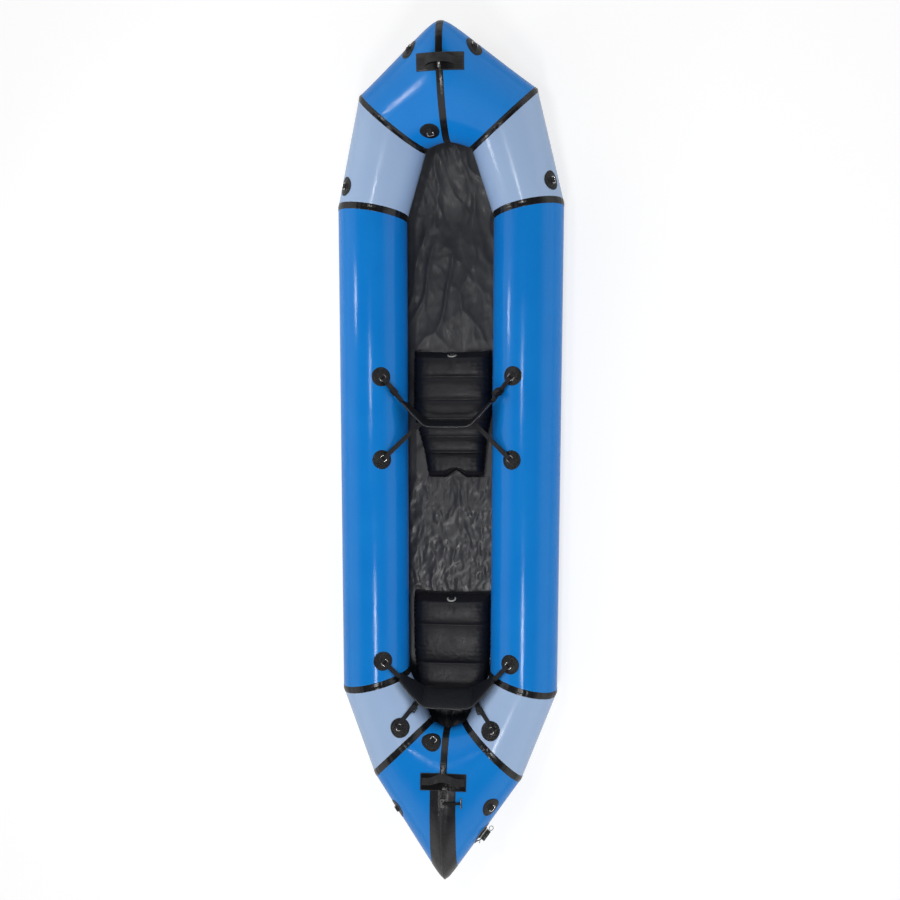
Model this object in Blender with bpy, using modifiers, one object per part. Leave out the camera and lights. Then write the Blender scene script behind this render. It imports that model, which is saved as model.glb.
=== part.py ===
"""Tandem packraft: a ring-shaped air tube of ten mitred fabric panels, a glued floor, two inflated
seats with back bands, a stern zipper, valves, grab handles and D-ring lashing points.

Metres, +X starboard, +Y bow, +Z up; the origin is under the middle of the hull, on the ground.
"""
import math

import bmesh
import bpy
import numpy as np
from mathutils import Matrix, Vector

# Hull: reach from the origin to either tip, half the beam, and the tube at the sides
HALF_LENGTH = 1.62
HALF_BEAM = 0.453
TUBE_DIAMETER = 0.275
# Height of the tube's underside over the floor at the quarter mitres and at the two ends
BOW_QUARTER_LIFT = 0.063
BOW_LIFT = 0.163
STERN_QUARTER_LIFT = 0.0265
STERN_LIFT = 0.081
# Fabrics and the clearances between glued or neighbouring pieces
HULL_FABRIC = 0.0006
FLOOR_FABRIC = 0.001
SEAM_GAP = 0.0003
GLUE_GAP = 0.0003
WELD_DISTANCE = 0.00002
TAPE_WIDTH = 0.026
TAPE_THICKNESS = 0.0008
# Round patches that carry the D-rings, their webbing loops, and the rings
PATCH_DIAMETER = 0.075
PATCH_THICKNESS = 0.001
LOOP_LENGTH = 0.036
LOOP_THICKNESS = 0.001
RING_WIDTH = 0.028
RING_DEPTH = 0.019
RING_WIRE = 0.004
RING_PLAY = 0.0006
# Grab handles
HANDLE_PATCH_LENGTH = 0.176
HANDLE_PATCH_WIDTH = 0.068
HANDLE_LENGTH = 0.164
HANDLE_WIDTH = 0.026
HANDLE_RISE = 0.030
HANDLE_FOOT = 0.028
WEBBING_THICKNESS = 0.0012
# Stern zipper: its tape, its chain, the slider and the T-shaped pull
ZIPPER_WIDTH = 0.098
CHAIN_WIDTH = 0.009
CHAIN_HEIGHT = 0.003
SLIDER_LENGTH = 0.034
SLIDER_WIDTH = 0.019
SLIDER_WALL = 0.0026
SLIDER_PLAY = 0.0009
CHAIN_SIDE_PLAY = 0.0016
PULL_LENGTH = 0.072
PULL_WIDTH = 0.009
PULL_THICKNESS = 0.003
PULL_EYE_DIAMETER = 0.0064
PULL_BAR_LENGTH = 0.036
PULL_BAR_DIAMETER = 0.007
PULL_PIN_DIAMETER = 0.0024
PIN_PLAY = 0.0003
END_PATCH_LENGTH = 0.040
# Seat pads: size, and how far ahead of the origin their middles lie
PAD_HALF_WIDTH = 0.158
PAD_HEIGHT = 0.092
FRONT_PAD_LENGTH = 0.512
REAR_PAD_LENGTH = 0.442
FRONT_PAD_PLACE = 0.184
REAR_PAD_PLACE = -0.774
# Back bands: height in the middle and at the ends, thickness, reach to each side, and place
BAND_HEIGHT = 0.108
BAND_END_HEIGHT = 0.040
BAND_THICKNESS = 0.014
BAND_CENTRE_HEIGHT = 0.200
FRONT_BAND_REACH = 0.177
REAR_BAND_REACH = 0.186
FRONT_BAND_PLACE = 0.140
REAR_BAND_PLACE = -0.940
# Straps of the bands, doubled round their D-rings, and the tri-glides that set their length
STRAP_WIDTH = 0.018
STRAP_PLY_GAP = 0.001
GLIDE_LENGTH = 0.024
GLIDE_WALL = 0.0034
# Main valve
MAIN_PATCH_DIAMETER = 0.085
MAIN_VALVE_DIAMETER = 0.052
MAIN_FLANGE_THICKNESS = 0.0025
MAIN_VALVE_NECK = 0.036
MAIN_VALVE_BORE = 0.026
MAIN_NECK_HEIGHT = 0.0165
SEAL_DIAMETER = 0.047
SEAL_HEIGHT = 0.003
MAIN_CAP_DIAMETER = 0.044
MAIN_CAP_HEIGHT = 0.017
CAP_WALL = 0.0028
THREAD_PLAY = 0.0005
TETHER_THICKNESS = 0.0016
TETHER_REACH = 0.003
TETHER_WIDTH = 0.007
TETHER_LENGTH = 0.034
# Seat valves
SEAT_VALVE_DIAMETER = 0.038
SEAT_FLANGE_THICKNESS = 0.002
SEAT_NECK_DIAMETER = 0.018
SEAT_CAP_DIAMETER = 0.026
SEAT_CAP_HEIGHT = 0.010

# How finely round things are cut: sides of the tube, of turned pieces and of wires
TUBE_SIDES = 24
TURNED_SIDES = 20
WIRE_RESOLUTION = 1
NEWTON_STEPS = 8

COLLECTION = "packraft"
CUTTERS = "packraft_cutters"

# Mitre rings of the starboard half. Outer edge: shares of HALF_BEAM and HALF_LENGTH. Width across
# the mitre and height of the ring: shares of TUBE_DIAMETER
MITRE_SHARES = {
    "aft_side": ((0.945, -0.565), 0.992, 0.974),
    "fore_side": ((1.0, 0.625), 1.025, 0.996),
    "bow_quarter": ((0.766, 0.891), 1.227, 1.018),
    "stern_quarter": ((0.640, -0.772), 1.121, 1.018),
}
# Degrees each mitre turns from straight across, and its top leans towards amidships
MITRE_TURN = {"aft_side": -14.6, "fore_side": 9.6, "bow_quarter": 41.2, "stern_quarter": -43.7}
MITRE_LEAN = {"aft_side": -4.0, "fore_side": 1.0, "bow_quarter": 15.5, "stern_quarter": 6.3}
MITRE_LIFT = {"aft_side": 0.0, "fore_side": 0.0, "bow_quarter": BOW_QUARTER_LIFT,
              "stern_quarter": STERN_QUARTER_LIFT}
# Rings where port and starboard meet: long and short radius as shares of TUBE_DIAMETER
END_SHARES = {"bow": (0.869, 0.516), "stern": (1.062, 0.5345)}
END_TILT = {"bow": 42.4, "stern": 5.4}
END_LIFT = {"bow": BOW_LIFT, "stern": STERN_LIFT}
END_SIGN = {"bow": 1.0, "stern": -1.0}
# How round the tip is: share of the mitre's half width over which the two sides blend
TIP_ROUND_SHARES = {"bow": 0.103, "stern": 0.054}

# Each panel of the starboard half runs from its first ring to its second
PANELS = {
    "side": ("aft_side", "fore_side"),
    "bow_quarter": ("fore_side", "bow_quarter"),
    "stern_quarter": ("aft_side", "stern_quarter"),
    "bow_end": ("bow_quarter", "bow"),
    "stern_end": ("stern_quarter", "stern"),
}
SIDES = {"starboard": 1.0, "port": -1.0}

# Angles around the tube: 0 at the outer edge, 90 on top, 180 inside, 270 under it
FLOOR_EDGE = -45.0
STEP = 360.0 / TUBE_SIDES
TAPE_INNER_END = 270.0 - STEP
RING_ANGLES = np.radians(np.arange(TUBE_SIDES) * STEP)


def rotated(angle):
    """Unit vector in the ground plane at an angle in radians from +X."""
    return np.array([math.cos(angle), math.sin(angle), 0.0])


def mitre_ring(name, angle):
    """Points of a mitre ring at the angles, and its centre: centre + across*cos + up*sin."""
    outer_shares, width_share, height_share = MITRE_SHARES[name]
    turn, lean = math.radians(MITRE_TURN[name]), math.radians(MITRE_LEAN[name])
    half_width = width_share * TUBE_DIAMETER / 2
    half_height = height_share * TUBE_DIAMETER / 2
    across = rotated(turn) * half_width
    away = rotated(turn + math.pi / 2) * (1.0 if outer_shares[1] > 0 else -1.0)
    up = (np.array([0.0, 0.0, math.cos(lean)]) - away * math.sin(lean)) * half_height
    outer = np.array([outer_shares[0] * HALF_BEAM, outer_shares[1] * HALF_LENGTH, 0.0])
    height = GLUE_GAP + FLOOR_FABRIC + MITRE_LIFT[name] + half_height * math.cos(lean)
    centre = outer - across + np.array([0.0, 0.0, height])
    angle = np.asarray(angle)[..., None]
    return centre + np.cos(angle) * across + np.sin(angle) * up, centre


def end_ring(name, angle):
    """Points of the tilted ellipse where port and starboard meet, and its centre."""
    long_radius, short_radius = (share * TUBE_DIAMETER for share in END_SHARES[name])
    tilt = math.radians(END_TILT[name])
    forward = np.array([0.0, END_SIGN[name], 0.0])
    up = np.array([0.0, 0.0, 1.0])
    long_axis = (forward * math.cos(tilt) + up * math.sin(tilt)) * long_radius
    short_axis = (up * math.cos(tilt) - forward * math.sin(tilt)) * short_radius
    drop = math.hypot(long_axis[2], short_axis[2])
    around = np.linspace(0.0, 2 * math.pi, 8 * TUBE_SIDES)
    reach = np.cos(around) * long_axis[1] + np.sin(around) * short_axis[1]
    mitre = mitre_ring(PANELS[name + "_end"][0], around)[0][:, 1]
    round_share = TIP_ROUND_SHARES[name] / math.hypot(1.0, TIP_ROUND_SHARES[name])
    tip = np.max(END_SIGN[name] * ((1 - round_share) * reach + round_share * mitre))
    place = (HALF_LENGTH - TAPE_THICKNESS - tip) / (1 - round_share)
    centre = forward * place + up * (GLUE_GAP + FLOOR_FABRIC + END_LIFT[name] + drop)
    angle = np.asarray(angle)[..., None]
    return centre + np.cos(angle) * long_axis + np.sin(angle) * short_axis, centre


def panel_point(panel, along, angle, lift=0.0):
    """Point over a starboard panel: along runs 0..1 from its first ring to its second, angle in
    radians goes around the tube, and lift is the height above the fabric.

    Sides and quarters are straight between their rings. An end panel blends into its mirror image
    over a hyperbola, so that its tip is round.
    """
    first, second = PANELS[panel]
    along, angle = np.broadcast_arrays(np.asarray(along, float), np.asarray(angle, float))
    mitre, mitre_centre = mitre_ring(first, angle)
    if second in END_SHARES:
        meeting, meeting_centre = end_ring(second, angle)
        blend = TIP_ROUND_SHARES[second]
        out = 1.0 - along
        share = (np.sqrt(out * out + blend * blend) / math.hypot(1.0, blend))[..., None]
        point = meeting + (mitre - meeting) * share
        centre = meeting_centre + (mitre_centre - meeting_centre) * share
        point[..., 0] = out * mitre[..., 0]
        centre[..., 0] = out * mitre_centre[0]
    else:
        far, far_centre = mitre_ring(second, angle)
        share = along[..., None]
        point = mitre + (far - mitre) * share
        centre = mitre_centre + (far_centre - mitre_centre) * share
    radial = point - centre
    return point + radial / np.linalg.norm(radial, axis=-1, keepdims=True) * lift


def off_centre(panel, distance, angle):
    """The along value at which an end panel is a distance away from the centre plane."""
    mitre = mitre_ring(PANELS[panel][0], angle)[0][..., 0]
    return 1.0 - distance / mitre


def from_mitre(panel, distance, angle, far=False):
    """The along value at a distance, in metres along the panel, from its first or second ring."""
    start, nudge = (1.0, -1e-3) if far else (0.0, 1e-3)
    step = panel_point(panel, start + nudge, angle) - panel_point(panel, start, angle)
    return start + nudge * distance / np.linalg.norm(step, axis=-1)


def mirrored(points, side):
    """The same points on the starboard (+1) or port (-1) half."""
    return np.asarray(points) * np.array([side, 1.0, 1.0])


def panel_axes(panel, along, angle):
    """Where a place on the hull is, its unit vectors along the panel, around the tube and out of
    the fabric, and how far one unit of along and of angle moves on it."""
    tiny = 1e-4
    here = panel_point(panel, along, angle)
    moves = np.stack([panel_point(panel, along + tiny, angle) - here,
                      panel_point(panel, along, angle + tiny) - here], axis=-2) / tiny
    normal = np.cross(moves[..., 0, :], moves[..., 1, :])
    outward = panel_point(panel, along, angle, 1.0) - here
    normal *= np.sign(np.sum(normal * outward, axis=-1, keepdims=True))
    normal /= np.linalg.norm(normal, axis=-1, keepdims=True)
    ahead = moves[..., 0, :] / np.linalg.norm(moves[..., 0, :], axis=-1, keepdims=True)
    around = np.cross(normal, ahead)
    around *= np.sign(np.sum(around * moves[..., 1, :], axis=-1, keepdims=True))
    return here, ahead, around, normal, moves


def on_hull(place, heading, ahead, across, lift):
    """Points laid on the hull about a place on it, ahead metres along the heading and across
    metres to its side, at a height above the fabric. A heading of 0 runs along the panel, and one
    of 90 degrees around the tube."""
    panel, along, angle, side = place
    angle = math.radians(angle)
    _, forward, around, _, moves = panel_axes(panel, along, angle)
    turn = math.radians(heading)
    ahead, across = np.asarray(ahead, float), np.asarray(across, float)
    offset = ((math.cos(turn) * ahead - math.sin(turn) * across)[..., None] * forward
              + (math.sin(turn) * ahead + math.cos(turn) * across)[..., None] * around)
    steps = offset @ np.linalg.pinv(moves)
    point, _, _, normal, _ = panel_axes(panel, along + steps[..., 0], angle + steps[..., 1])
    return mirrored(point + normal * np.asarray(lift)[..., None], side)


def axes_frame(origin, x_axis, z_axis):
    """Frame with its X and Z axes near the given directions, Z kept exactly."""
    z_axis = Vector(z_axis).normalized()
    y_axis = z_axis.cross(Vector(x_axis)).normalized()
    frame = Matrix((y_axis.cross(z_axis), y_axis, z_axis)).transposed().to_4x4()
    frame.translation = Vector(origin)
    return frame


def hull_frame(place, heading=0.0, lift=0.0):
    """Frame standing on a place on the hull: Z out of the fabric and X along the heading."""
    panel, along, angle, side = place
    here, forward, around, normal, _ = panel_axes(panel, along, math.radians(angle))
    turn = math.radians(heading)
    x_axis = math.cos(turn) * forward + math.sin(turn) * around
    return axes_frame(mirrored(here + normal * lift, side), mirrored(x_axis, side),
                      mirrored(normal, side))


def start_scene():
    """Empties the file and makes the collections of the parts and of the cutters."""
    for obj in list(bpy.data.objects):
        bpy.data.objects.remove(obj, do_unlink=True)
    for name in (COLLECTION, CUTTERS):
        if name not in bpy.data.collections:
            bpy.context.scene.collection.children.link(bpy.data.collections.new(name))


def finish_of(name, colour, roughness, metallic=0.0):
    """Principled material with a colour in sRGB hex."""
    material = bpy.data.materials.new(name)
    material.use_nodes = True
    parts = [int(colour[i:i + 2], 16) / 255 for i in (0, 2, 4)]
    linear = [c / 12.92 if c <= 0.04045 else ((c + 0.055) / 1.055) ** 2.4 for c in parts]
    shader = material.node_tree.nodes["Principled BSDF"]
    shader.inputs["Base Color"].default_value = (*linear, 1.0)
    shader.inputs["Roughness"].default_value = roughness
    shader.inputs["Metallic"].default_value = metallic
    material.diffuse_color = (*linear, 1.0)
    return material


def add_object(name, data, material, collection=COLLECTION):
    """Links mesh or curve data as an object with its own material."""
    obj = bpy.data.objects.new(name, data)
    data.materials.clear()
    data.materials.append(material)
    bpy.data.collections[collection].objects.link(obj)
    return obj


def mesh_of(name, vertices, faces):
    """Closed mesh from points and faces that already agree, turned to point outwards."""
    mesh = bpy.data.meshes.new(name)
    mesh.from_pydata([tuple(v) for v in vertices], [], faces)
    work = bmesh.new()
    work.from_mesh(mesh)
    bmesh.ops.remove_doubles(work, verts=work.verts, dist=WELD_DISTANCE)
    bmesh.ops.dissolve_degenerate(work, dist=WELD_DISTANCE, edges=work.edges)
    loose = [vert for vert in work.verts if not vert.link_faces]
    bmesh.ops.delete(work, geom=loose, context="VERTS")
    if work.calc_volume(signed=True) < 0:
        bmesh.ops.reverse_faces(work, faces=work.faces)
    work.to_mesh(mesh)
    work.free()
    return mesh


def grid_faces(rows, columns, first=0, wrap=False, falling=0):
    """Triangles of a grid of points in row order, closed around each row when wrap is set. Each
    square is cut so that walls laid over each other stay parallel: from its first corner, or in
    the first columns, as many as falling says, from the next corner along the row."""
    faces = []
    for row in range(rows - 1):
        for column in range(columns if wrap else columns - 1):
            right = (column + 1) % columns
            low, high = first + row * columns, first + (row + 1) * columns
            a, b, c, d = low + column, low + right, high + right, high + column
            faces += [(a, b, d), (b, c, d)] if column < falling else [(a, b, c), (a, c, d)]
    return faces


def skin(name, sheet, outward, thickness, material, falling=0, collection=COLLECTION):
    """Open sheet, a grid of points, thickened by Solidify towards outward, a direction that points
    away from what it lies on. Its first columns, as many as falling says, are cut falling."""
    rows, columns = sheet.shape[:2]
    flat = sheet.reshape(-1, 3)
    triangles = grid_faces(rows, columns, falling=falling)
    a, b, c = (flat[corner] for corner in triangles[0])
    if np.cross(b - a, c - a) @ np.asarray(outward) < 0:
        triangles = [triangle[::-1] for triangle in triangles]
    mesh = bpy.data.meshes.new(name)
    mesh.from_pydata([tuple(v) for v in flat], [], triangles)
    obj = add_object(name, mesh, material, collection)
    shell = obj.modifiers.new("fabric", "SOLIDIFY")
    shell.thickness = thickness
    shell.offset = 1.0
    shell.use_even_offset = True
    return obj


# Where the rings of an end panel lie between the tape at its mitre and the bend by its tip
PANEL_RING_SHARES = (0.45, 0.78)


def taped(angles, first, last):
    """Height of the seam tape at the angles: its thickness from the first to the last of them."""
    return np.where((angles > first - 1e-6) & (angles < last + 1e-6), TAPE_THICKNESS, 0.0)


def panel_rings(panel, angles, gap=0.0):
    """The rings of a panel as (along values, heights over the fabric) at the angles, a gap short
    of its two ends. Half of each seam's tape lies along the panel's edge as a raised band."""
    turned = np.degrees(angles) % 360.0
    turned = np.where(turned > 360.0 + FLOOR_EDGE - STEP / 2, turned - 360.0, turned)
    tape = taped(turned, FLOOR_EDGE + STEP, TAPE_INNER_END)
    bare = np.zeros_like(tape)
    edge, foot = TAPE_WIDTH / 2, TAPE_WIDTH / 2 + TAPE_THICKNESS
    rings = [(from_mitre(panel, gap, angles), tape), (from_mitre(panel, edge, angles), tape),
             (from_mitre(panel, foot, angles), bare)]
    if PANELS[panel][1] not in END_SHARES:
        return rings + [(from_mitre(panel, foot, angles, far=True), bare),
                        (from_mitre(panel, edge, angles, far=True), tape),
                        (from_mitre(panel, gap, angles, far=True), tape)]
    bend = np.full_like(angles, ZIPPER_WIDTH / 3)
    if panel == "stern_end":
        zipped = (turned > ZIPPER_TIP_ANGLE - STEP) & (turned < ZIPPER_TOP_ANGLE + STEP)
        tape = np.where(zipped, 0.0, tape)
        bend, foot = np.where(zipped, ZIPPER_WIDTH / 2, bend), np.where(zipped, bend, foot)
    start, bend = rings[-1][0], off_centre(panel, bend, angles)
    rings += [(start + (bend - start) * share, bare) for share in PANEL_RING_SHARES]
    return rings + [(bend, bare), (off_centre(panel, foot, angles), bare),
                    (off_centre(panel, edge, angles), tape), (off_centre(panel, gap, angles), tape)]


def hull_panel(panel, side_name, material):
    """One fabric panel of the air tube, open at both mitres where its neighbours join it."""
    rings = panel_rings(panel, RING_ANGLES, SEAM_GAP / 2)
    outer = [panel_point(panel, along, RING_ANGLES, lift[:, None]) for along, lift in rings]
    kept = [0, *range(2, len(rings))] if panel.endswith("end") else [0, -1]
    inner = [panel_point(panel, rings[k][0], RING_ANGLES, -HULL_FABRIC) for k in kept]
    vertices = mirrored(np.array(outer + inner).reshape(-1, 3), SIDES[side_name])
    inside = len(outer) * TUBE_SIDES
    cut = TUBE_SIDES if panel.startswith("stern") else 0
    faces = grid_faces(len(outer), TUBE_SIDES, wrap=True, falling=cut)
    faces += [face[::-1] for face in grid_faces(len(inner), TUBE_SIDES, inside, True, cut)]
    last, inner_last = inside - TUBE_SIDES, len(vertices) - TUBE_SIDES
    for k in range(TUBE_SIDES):
        right = (k + 1) % TUBE_SIDES
        faces.append((right, k, inside + k, inside + right))
        faces.append((last + k, last + right, inner_last + right, inner_last + k))
    name = f"hull_{panel}_{side_name}"
    return add_object(name, mesh_of(name, vertices, faces), material)


def span_angles(first, last):
    """Angles in radians from first to last in degrees, with the corners of the tube between."""
    inner = np.arange(math.floor(first / STEP) + 1, math.ceil(last / STEP)) * STEP
    return np.radians(np.concatenate([[first], inner, [last]]))


def squared(panel, angles, distance):
    """The angles at which lines square to the centre plane, through its ring at the given angles,
    reach a distance from the plane."""
    start, tiny = panel_point(panel, 1.0, angles), 1e-4
    ahead = panel_point(panel, 1.0, angles.mean() + tiny) - panel_point(panel, 1.0, angles.mean())
    found = angles
    for _ in range(NEWTON_STEPS):
        miss, nudged = ((panel_point(panel, off_centre(panel, distance, a), a) - start) @ ahead
                        for a in (found, found + tiny))
        found = found - miss * tiny / (nudged - miss)
    return found


def across_tip(panel, angles, distances, lifts, square=False):
    """Sheet laid across the centre plane, a row for each angle and a column for each signed
    distance from the plane, and the direction out of the fabric at its first corner. Its rows keep
    to the panel's own lines, or run square to the plane."""
    angles = angles[::-1] if panel.startswith("bow") else angles
    columns = []
    for distance, lift in zip(distances, np.broadcast_to(lifts, len(distances))):
        turned = squared(panel, angles, abs(distance)) if square else angles
        along = off_centre(panel, abs(distance), turned)
        columns.append(mirrored(panel_point(panel, along, turned, lift), math.copysign(1.0, distance)))
    outward = panel_point(panel, 1.0, angles[0], 1.0) - panel_point(panel, 1.0, angles[0])
    return np.stack(columns, axis=1), outward


def both_ways(distances):
    """The distances on the port side, zero, and on the starboard side."""
    return [-distance for distance in reversed(distances)] + [0.0, *distances]


def add_hull():
    blue = finish_of("tube_fabric_blue", "1C80D2", 0.28)
    pale = finish_of("tube_fabric_pale", "9DB4D8", 0.30)
    for side_name in SIDES:
        for panel in PANELS:
            hull_panel(panel, side_name, pale if "quarter" in panel else blue)


# Angles of the stern's centre ring at which the zipper starts, by the handle, and ends at the tip
ZIPPER_TOP_ANGLE = 104.0
ZIPPER_TIP_ANGLE = 6.0


# Rows of the floor along the straight sides, from the stern mitre to the bow one
FLOOR_SIDE_SHARES = (0.0, 0.25, 0.5, 0.75, 1.0)


def floor_half(lift):
    """Starboard half of one face of the floor, a row for each ring of the hull from stern to bow,
    each from the glued edge under the tube to the tube's keel line."""
    angles = np.radians(np.arange(FLOOR_EDGE, -90.0 - STEP / 2, -STEP))
    rows = [panel_point("stern_end", along, angles, lift)
            for along, _ in reversed(panel_rings("stern_end", angles))]
    rows += [panel_point("side", share, angles, lift) for share in FLOOR_SIDE_SHARES]
    rows += [panel_point("bow_end", along, angles, lift)
             for along, _ in panel_rings("bow_end", angles)]
    return np.array(rows)


def floor_height(place):
    """Height of the floor's upper side at a distance ahead of the origin."""
    keel = floor_half(GLUE_GAP)[:, -1]
    return float(np.interp(place, keel[:, 1], keel[:, 2]))


def add_floor():
    """The floor: glued under the tube all round and stretched flat between the two sides."""
    coated = finish_of("floor_fabric_black", "2B2C30", 0.35)
    faces_of_sheet = []
    for lift in (GLUE_GAP, GLUE_GAP + FLOOR_FABRIC):
        half = floor_half(lift)
        faces_of_sheet.append(np.concatenate([half, mirrored(half, -1.0)[:, ::-1]], axis=1))
    upper, lower = faces_of_sheet
    rows, columns = upper.shape[:2]
    vertices = np.concatenate([upper.reshape(-1, 3), lower.reshape(-1, 3)])
    offset = rows * columns
    cut = columns // 2
    faces = grid_faces(rows, columns, falling=cut)
    faces += [face[::-1] for face in grid_faces(rows, columns, offset, falling=cut)]
    for row in range(rows - 1):
        left, above = row * columns, (row + 1) * columns
        right, right_above = left + columns - 1, above + columns - 1
        faces.append((left, above, above + offset, left + offset))
        faces.append((right_above, right, right + offset, right_above + offset))
    add_object("floor_sheet", mesh_of("floor_sheet", vertices, faces), coated)


def combine(obj, others, operation="UNION"):
    """Joins the others to an object, or cuts it with them."""
    for other in others:
        other.hide_render = True
        other.display_type = "WIRE"
        change = obj.modifiers.new(other.name, "BOOLEAN")
        change.operation = operation
        change.solver = "EXACT"
        change.object = other
    return obj


def box(name, size, frame, material, collection=COLLECTION):
    """Box about the frame's origin."""
    work = bmesh.new()
    bmesh.ops.create_cube(work, size=1.0, matrix=Matrix.Diagonal((*size, 1.0)))
    mesh = bpy.data.meshes.new(name)
    work.to_mesh(mesh)
    work.free()
    obj = add_object(name, mesh, material, collection)
    obj.matrix_world = frame
    return obj


def rod(name, diameter, length, frame, material, collection=COLLECTION, sides=16):
    """Cylinder about the frame's origin, along its X."""
    work = bmesh.new()
    bmesh.ops.create_cone(work, cap_ends=True, segments=sides, radius1=diameter / 2,
                          radius2=diameter / 2, depth=length,
                          matrix=Matrix.Rotation(math.pi / 2, 4, "Y"))
    mesh = bpy.data.meshes.new(name)
    work.to_mesh(mesh)
    work.free()
    obj = add_object(name, mesh, material, collection)
    obj.matrix_world = frame
    return obj


def turned(name, profile, frame, material, closed=False, collection=COLLECTION):
    """Profile of (radius, height) points turned about the frame's Z, down its outer side."""
    count = len(profile)
    edges = [(k, (k + 1) % count) for k in range(count if closed else count - 1)]
    mesh = bpy.data.meshes.new(name)
    mesh.from_pydata([(radius, 0.0, height) for radius, height in profile], edges, [])
    obj = add_object(name, mesh, material, collection)
    obj.matrix_world = frame
    screw = obj.modifiers.new("turn", "SCREW")
    screw.steps = screw.render_steps = TURNED_SIDES
    screw.use_merge_vertices = True
    screw.merge_threshold = WELD_DISTANCE
    return obj


def wire_ring(name, frame, material):
    """D-ring in the frame's XY plane: its bar along Y through the origin, its bow towards +X."""
    half_width, reach = (RING_WIDTH - RING_WIRE) / 2, RING_DEPTH - RING_WIRE
    curve = bpy.data.curves.new(name, "CURVE")
    curve.dimensions = "3D"
    curve.bevel_depth = RING_WIRE / 2
    curve.bevel_resolution = WIRE_RESOLUTION
    spline = curve.splines.new("POLY")
    spline.points.add(len(RING_OUTLINE_SHARES) - 1)
    for point, (x, y) in zip(spline.points, RING_OUTLINE_SHARES):
        point.co = (x * reach, y * half_width, 0.0, 1.0)
    spline.use_cyclic_u = True
    obj = add_object(name, curve, material)
    obj.matrix_world = frame
    return obj


def meshed(obj, collection=COLLECTION):
    """The same shape as a mesh, which a Boolean can use."""
    bpy.context.view_layer.update()
    name, frame = obj.name, obj.matrix_world.copy()
    material = obj.data.materials[0]
    mesh = bpy.data.meshes.new_from_object(obj.evaluated_get(bpy.context.evaluated_depsgraph_get()))
    bpy.data.objects.remove(obj, do_unlink=True)
    work = bmesh.new()
    work.from_mesh(mesh)
    bmesh.ops.remove_doubles(work, verts=work.verts, dist=WELD_DISTANCE)
    work.to_mesh(mesh)
    work.free()
    new = add_object(name, mesh, material, collection)
    new.matrix_world = frame
    return new


# Outline of a D-ring from its bar round its bow: shares of its reach and of its half width
RING_OUTLINE_SHARES = ((0.0, -0.84), (0.0, 0.84), (0.16, 1.0), (0.66, 1.0), (0.92, 0.88),
                       (1.0, 0.62), (1.0, -0.62), (0.92, -0.88), (0.66, -1.0), (0.16, -1.0))
# Degrees that a resting ring stands off the fabric, over the foot of its loop, and that a ring
# holding a doubled strap stands off it at least
RING_REST = 5.0
HELD_RING_REST = 15.0
# How far a held ring's bar stands over its patch: share of the wire's radius
RING_SEAT_SHARE = 0.7
# Rows of a round patch: their angles from the middle, in degrees
DISC_ANGLES = np.radians((np.arange(8) - 3.5) * 22.5)

# Places on the hull: panel, share along it, degrees around the tube, side. The rings that hang
# free point down the tube at the heading
LASH_PLACES = {
    "bow_starboard": (("bow_end", 0.65, 18.0, 1.0), -90.0),
    "bow_port": (("bow_end", 0.65, 18.0, -1.0), -90.0),
    "bow_inner": (("bow_end", 0.649, 128.0, -1.0), 90.0),
    "front_starboard": (("bow_quarter", 0.183, 40.8, 1.0), -90.0),
    "front_port": (("bow_quarter", 0.183, 40.8, -1.0), -90.0),
    "stern_inner": (("stern_end", 0.5, 140.0, -1.0), 90.0),
    "stern_starboard": (("stern_end", 0.335, 44.0, 1.0), -90.0),
    "stern_port": (("stern_end", 0.335, 26.0, -1.0), -90.0),
}
# Anchors of the back bands' straps on the starboard half
ANCHOR_PLACES = {
    "front_fore": ("side", 0.647, 112.3),
    "front_aft": ("side", 0.4725, 112.5),
    "rear_fore": ("side", 0.0485, 111.4),
    "rear_aft": ("stern_quarter", 0.731, 111.5),
}


def disc(place, diameter, lift):
    """Round sheet laid on the hull."""
    radius = diameter / 2
    steps = np.linspace(-1.0, 1.0, 4 if place[0].endswith("end") else 2)
    across = radius * np.sin(DISC_ANGLES)[:, None] + 0.0 * steps
    ahead = radius * np.cos(DISC_ANGLES)[:, None] * steps
    return on_hull(place, 0.0, ahead, across, np.full_like(across, lift))


def outward_at(place):
    """Direction out of the fabric at a place on the hull."""
    return np.array(hull_frame(place).col[2][:3])


def lash_patch(name, place, heading, material):
    """Round patch with the webbing loop sewn over the place of a D-ring's bar. Its ends run along
    the heading."""
    inner = 90.0 < place[2] and place[0].endswith("end")
    lift = (3 if inner else 1) * GLUE_GAP
    out = outward_at(place)
    patch = skin(name, disc(place, PATCH_DIAMETER, lift), out, PATCH_THICKNESS, material)
    top = lift + PATCH_THICKNESS
    room = RING_WIRE / 2 + RING_PLAY
    bar = top + SEAM_GAP + RING_WIRE / 2
    width = RING_WIDTH - 2 * RING_WIRE - 2 * RING_PLAY
    foot = top - LOOP_THICKNESS / 5
    ahead = np.array([LOOP_LENGTH / 2, 2.2 * room, 0.85 * room])
    ahead = np.concatenate([-ahead, ahead[::-1]])[:, None] * np.ones(2)
    lifts = np.array([foot, foot, bar + room, bar + room, foot, foot])[:, None] * np.ones(2)
    across = np.array([-width / 2, width / 2]) * np.ones((6, 1))
    sheet = on_hull(place, heading, ahead, across, lifts)
    loop = skin(name + "_loop", sheet, out, LOOP_THICKNESS, material, collection=CUTTERS)
    return combine(patch, [loop]), bar


def add_lash_points():
    """Patches and free D-rings, each ring with its origin on its bar."""
    cloth = finish_of("patch_webbing_black", "1E1E21", 0.55)
    steel = finish_of("d_ring_metal", "2A2B2E", 0.25, 0.9)
    for name, (place, heading) in LASH_PLACES.items():
        _, bar = lash_patch(f"lash_patch_{name}", place, heading, cloth)
        rest = Matrix.Rotation(-math.radians(RING_REST), 4, "Y")
        wire_ring(f"d_ring_{name}", hull_frame(place, heading, bar) @ rest, steel)


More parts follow.
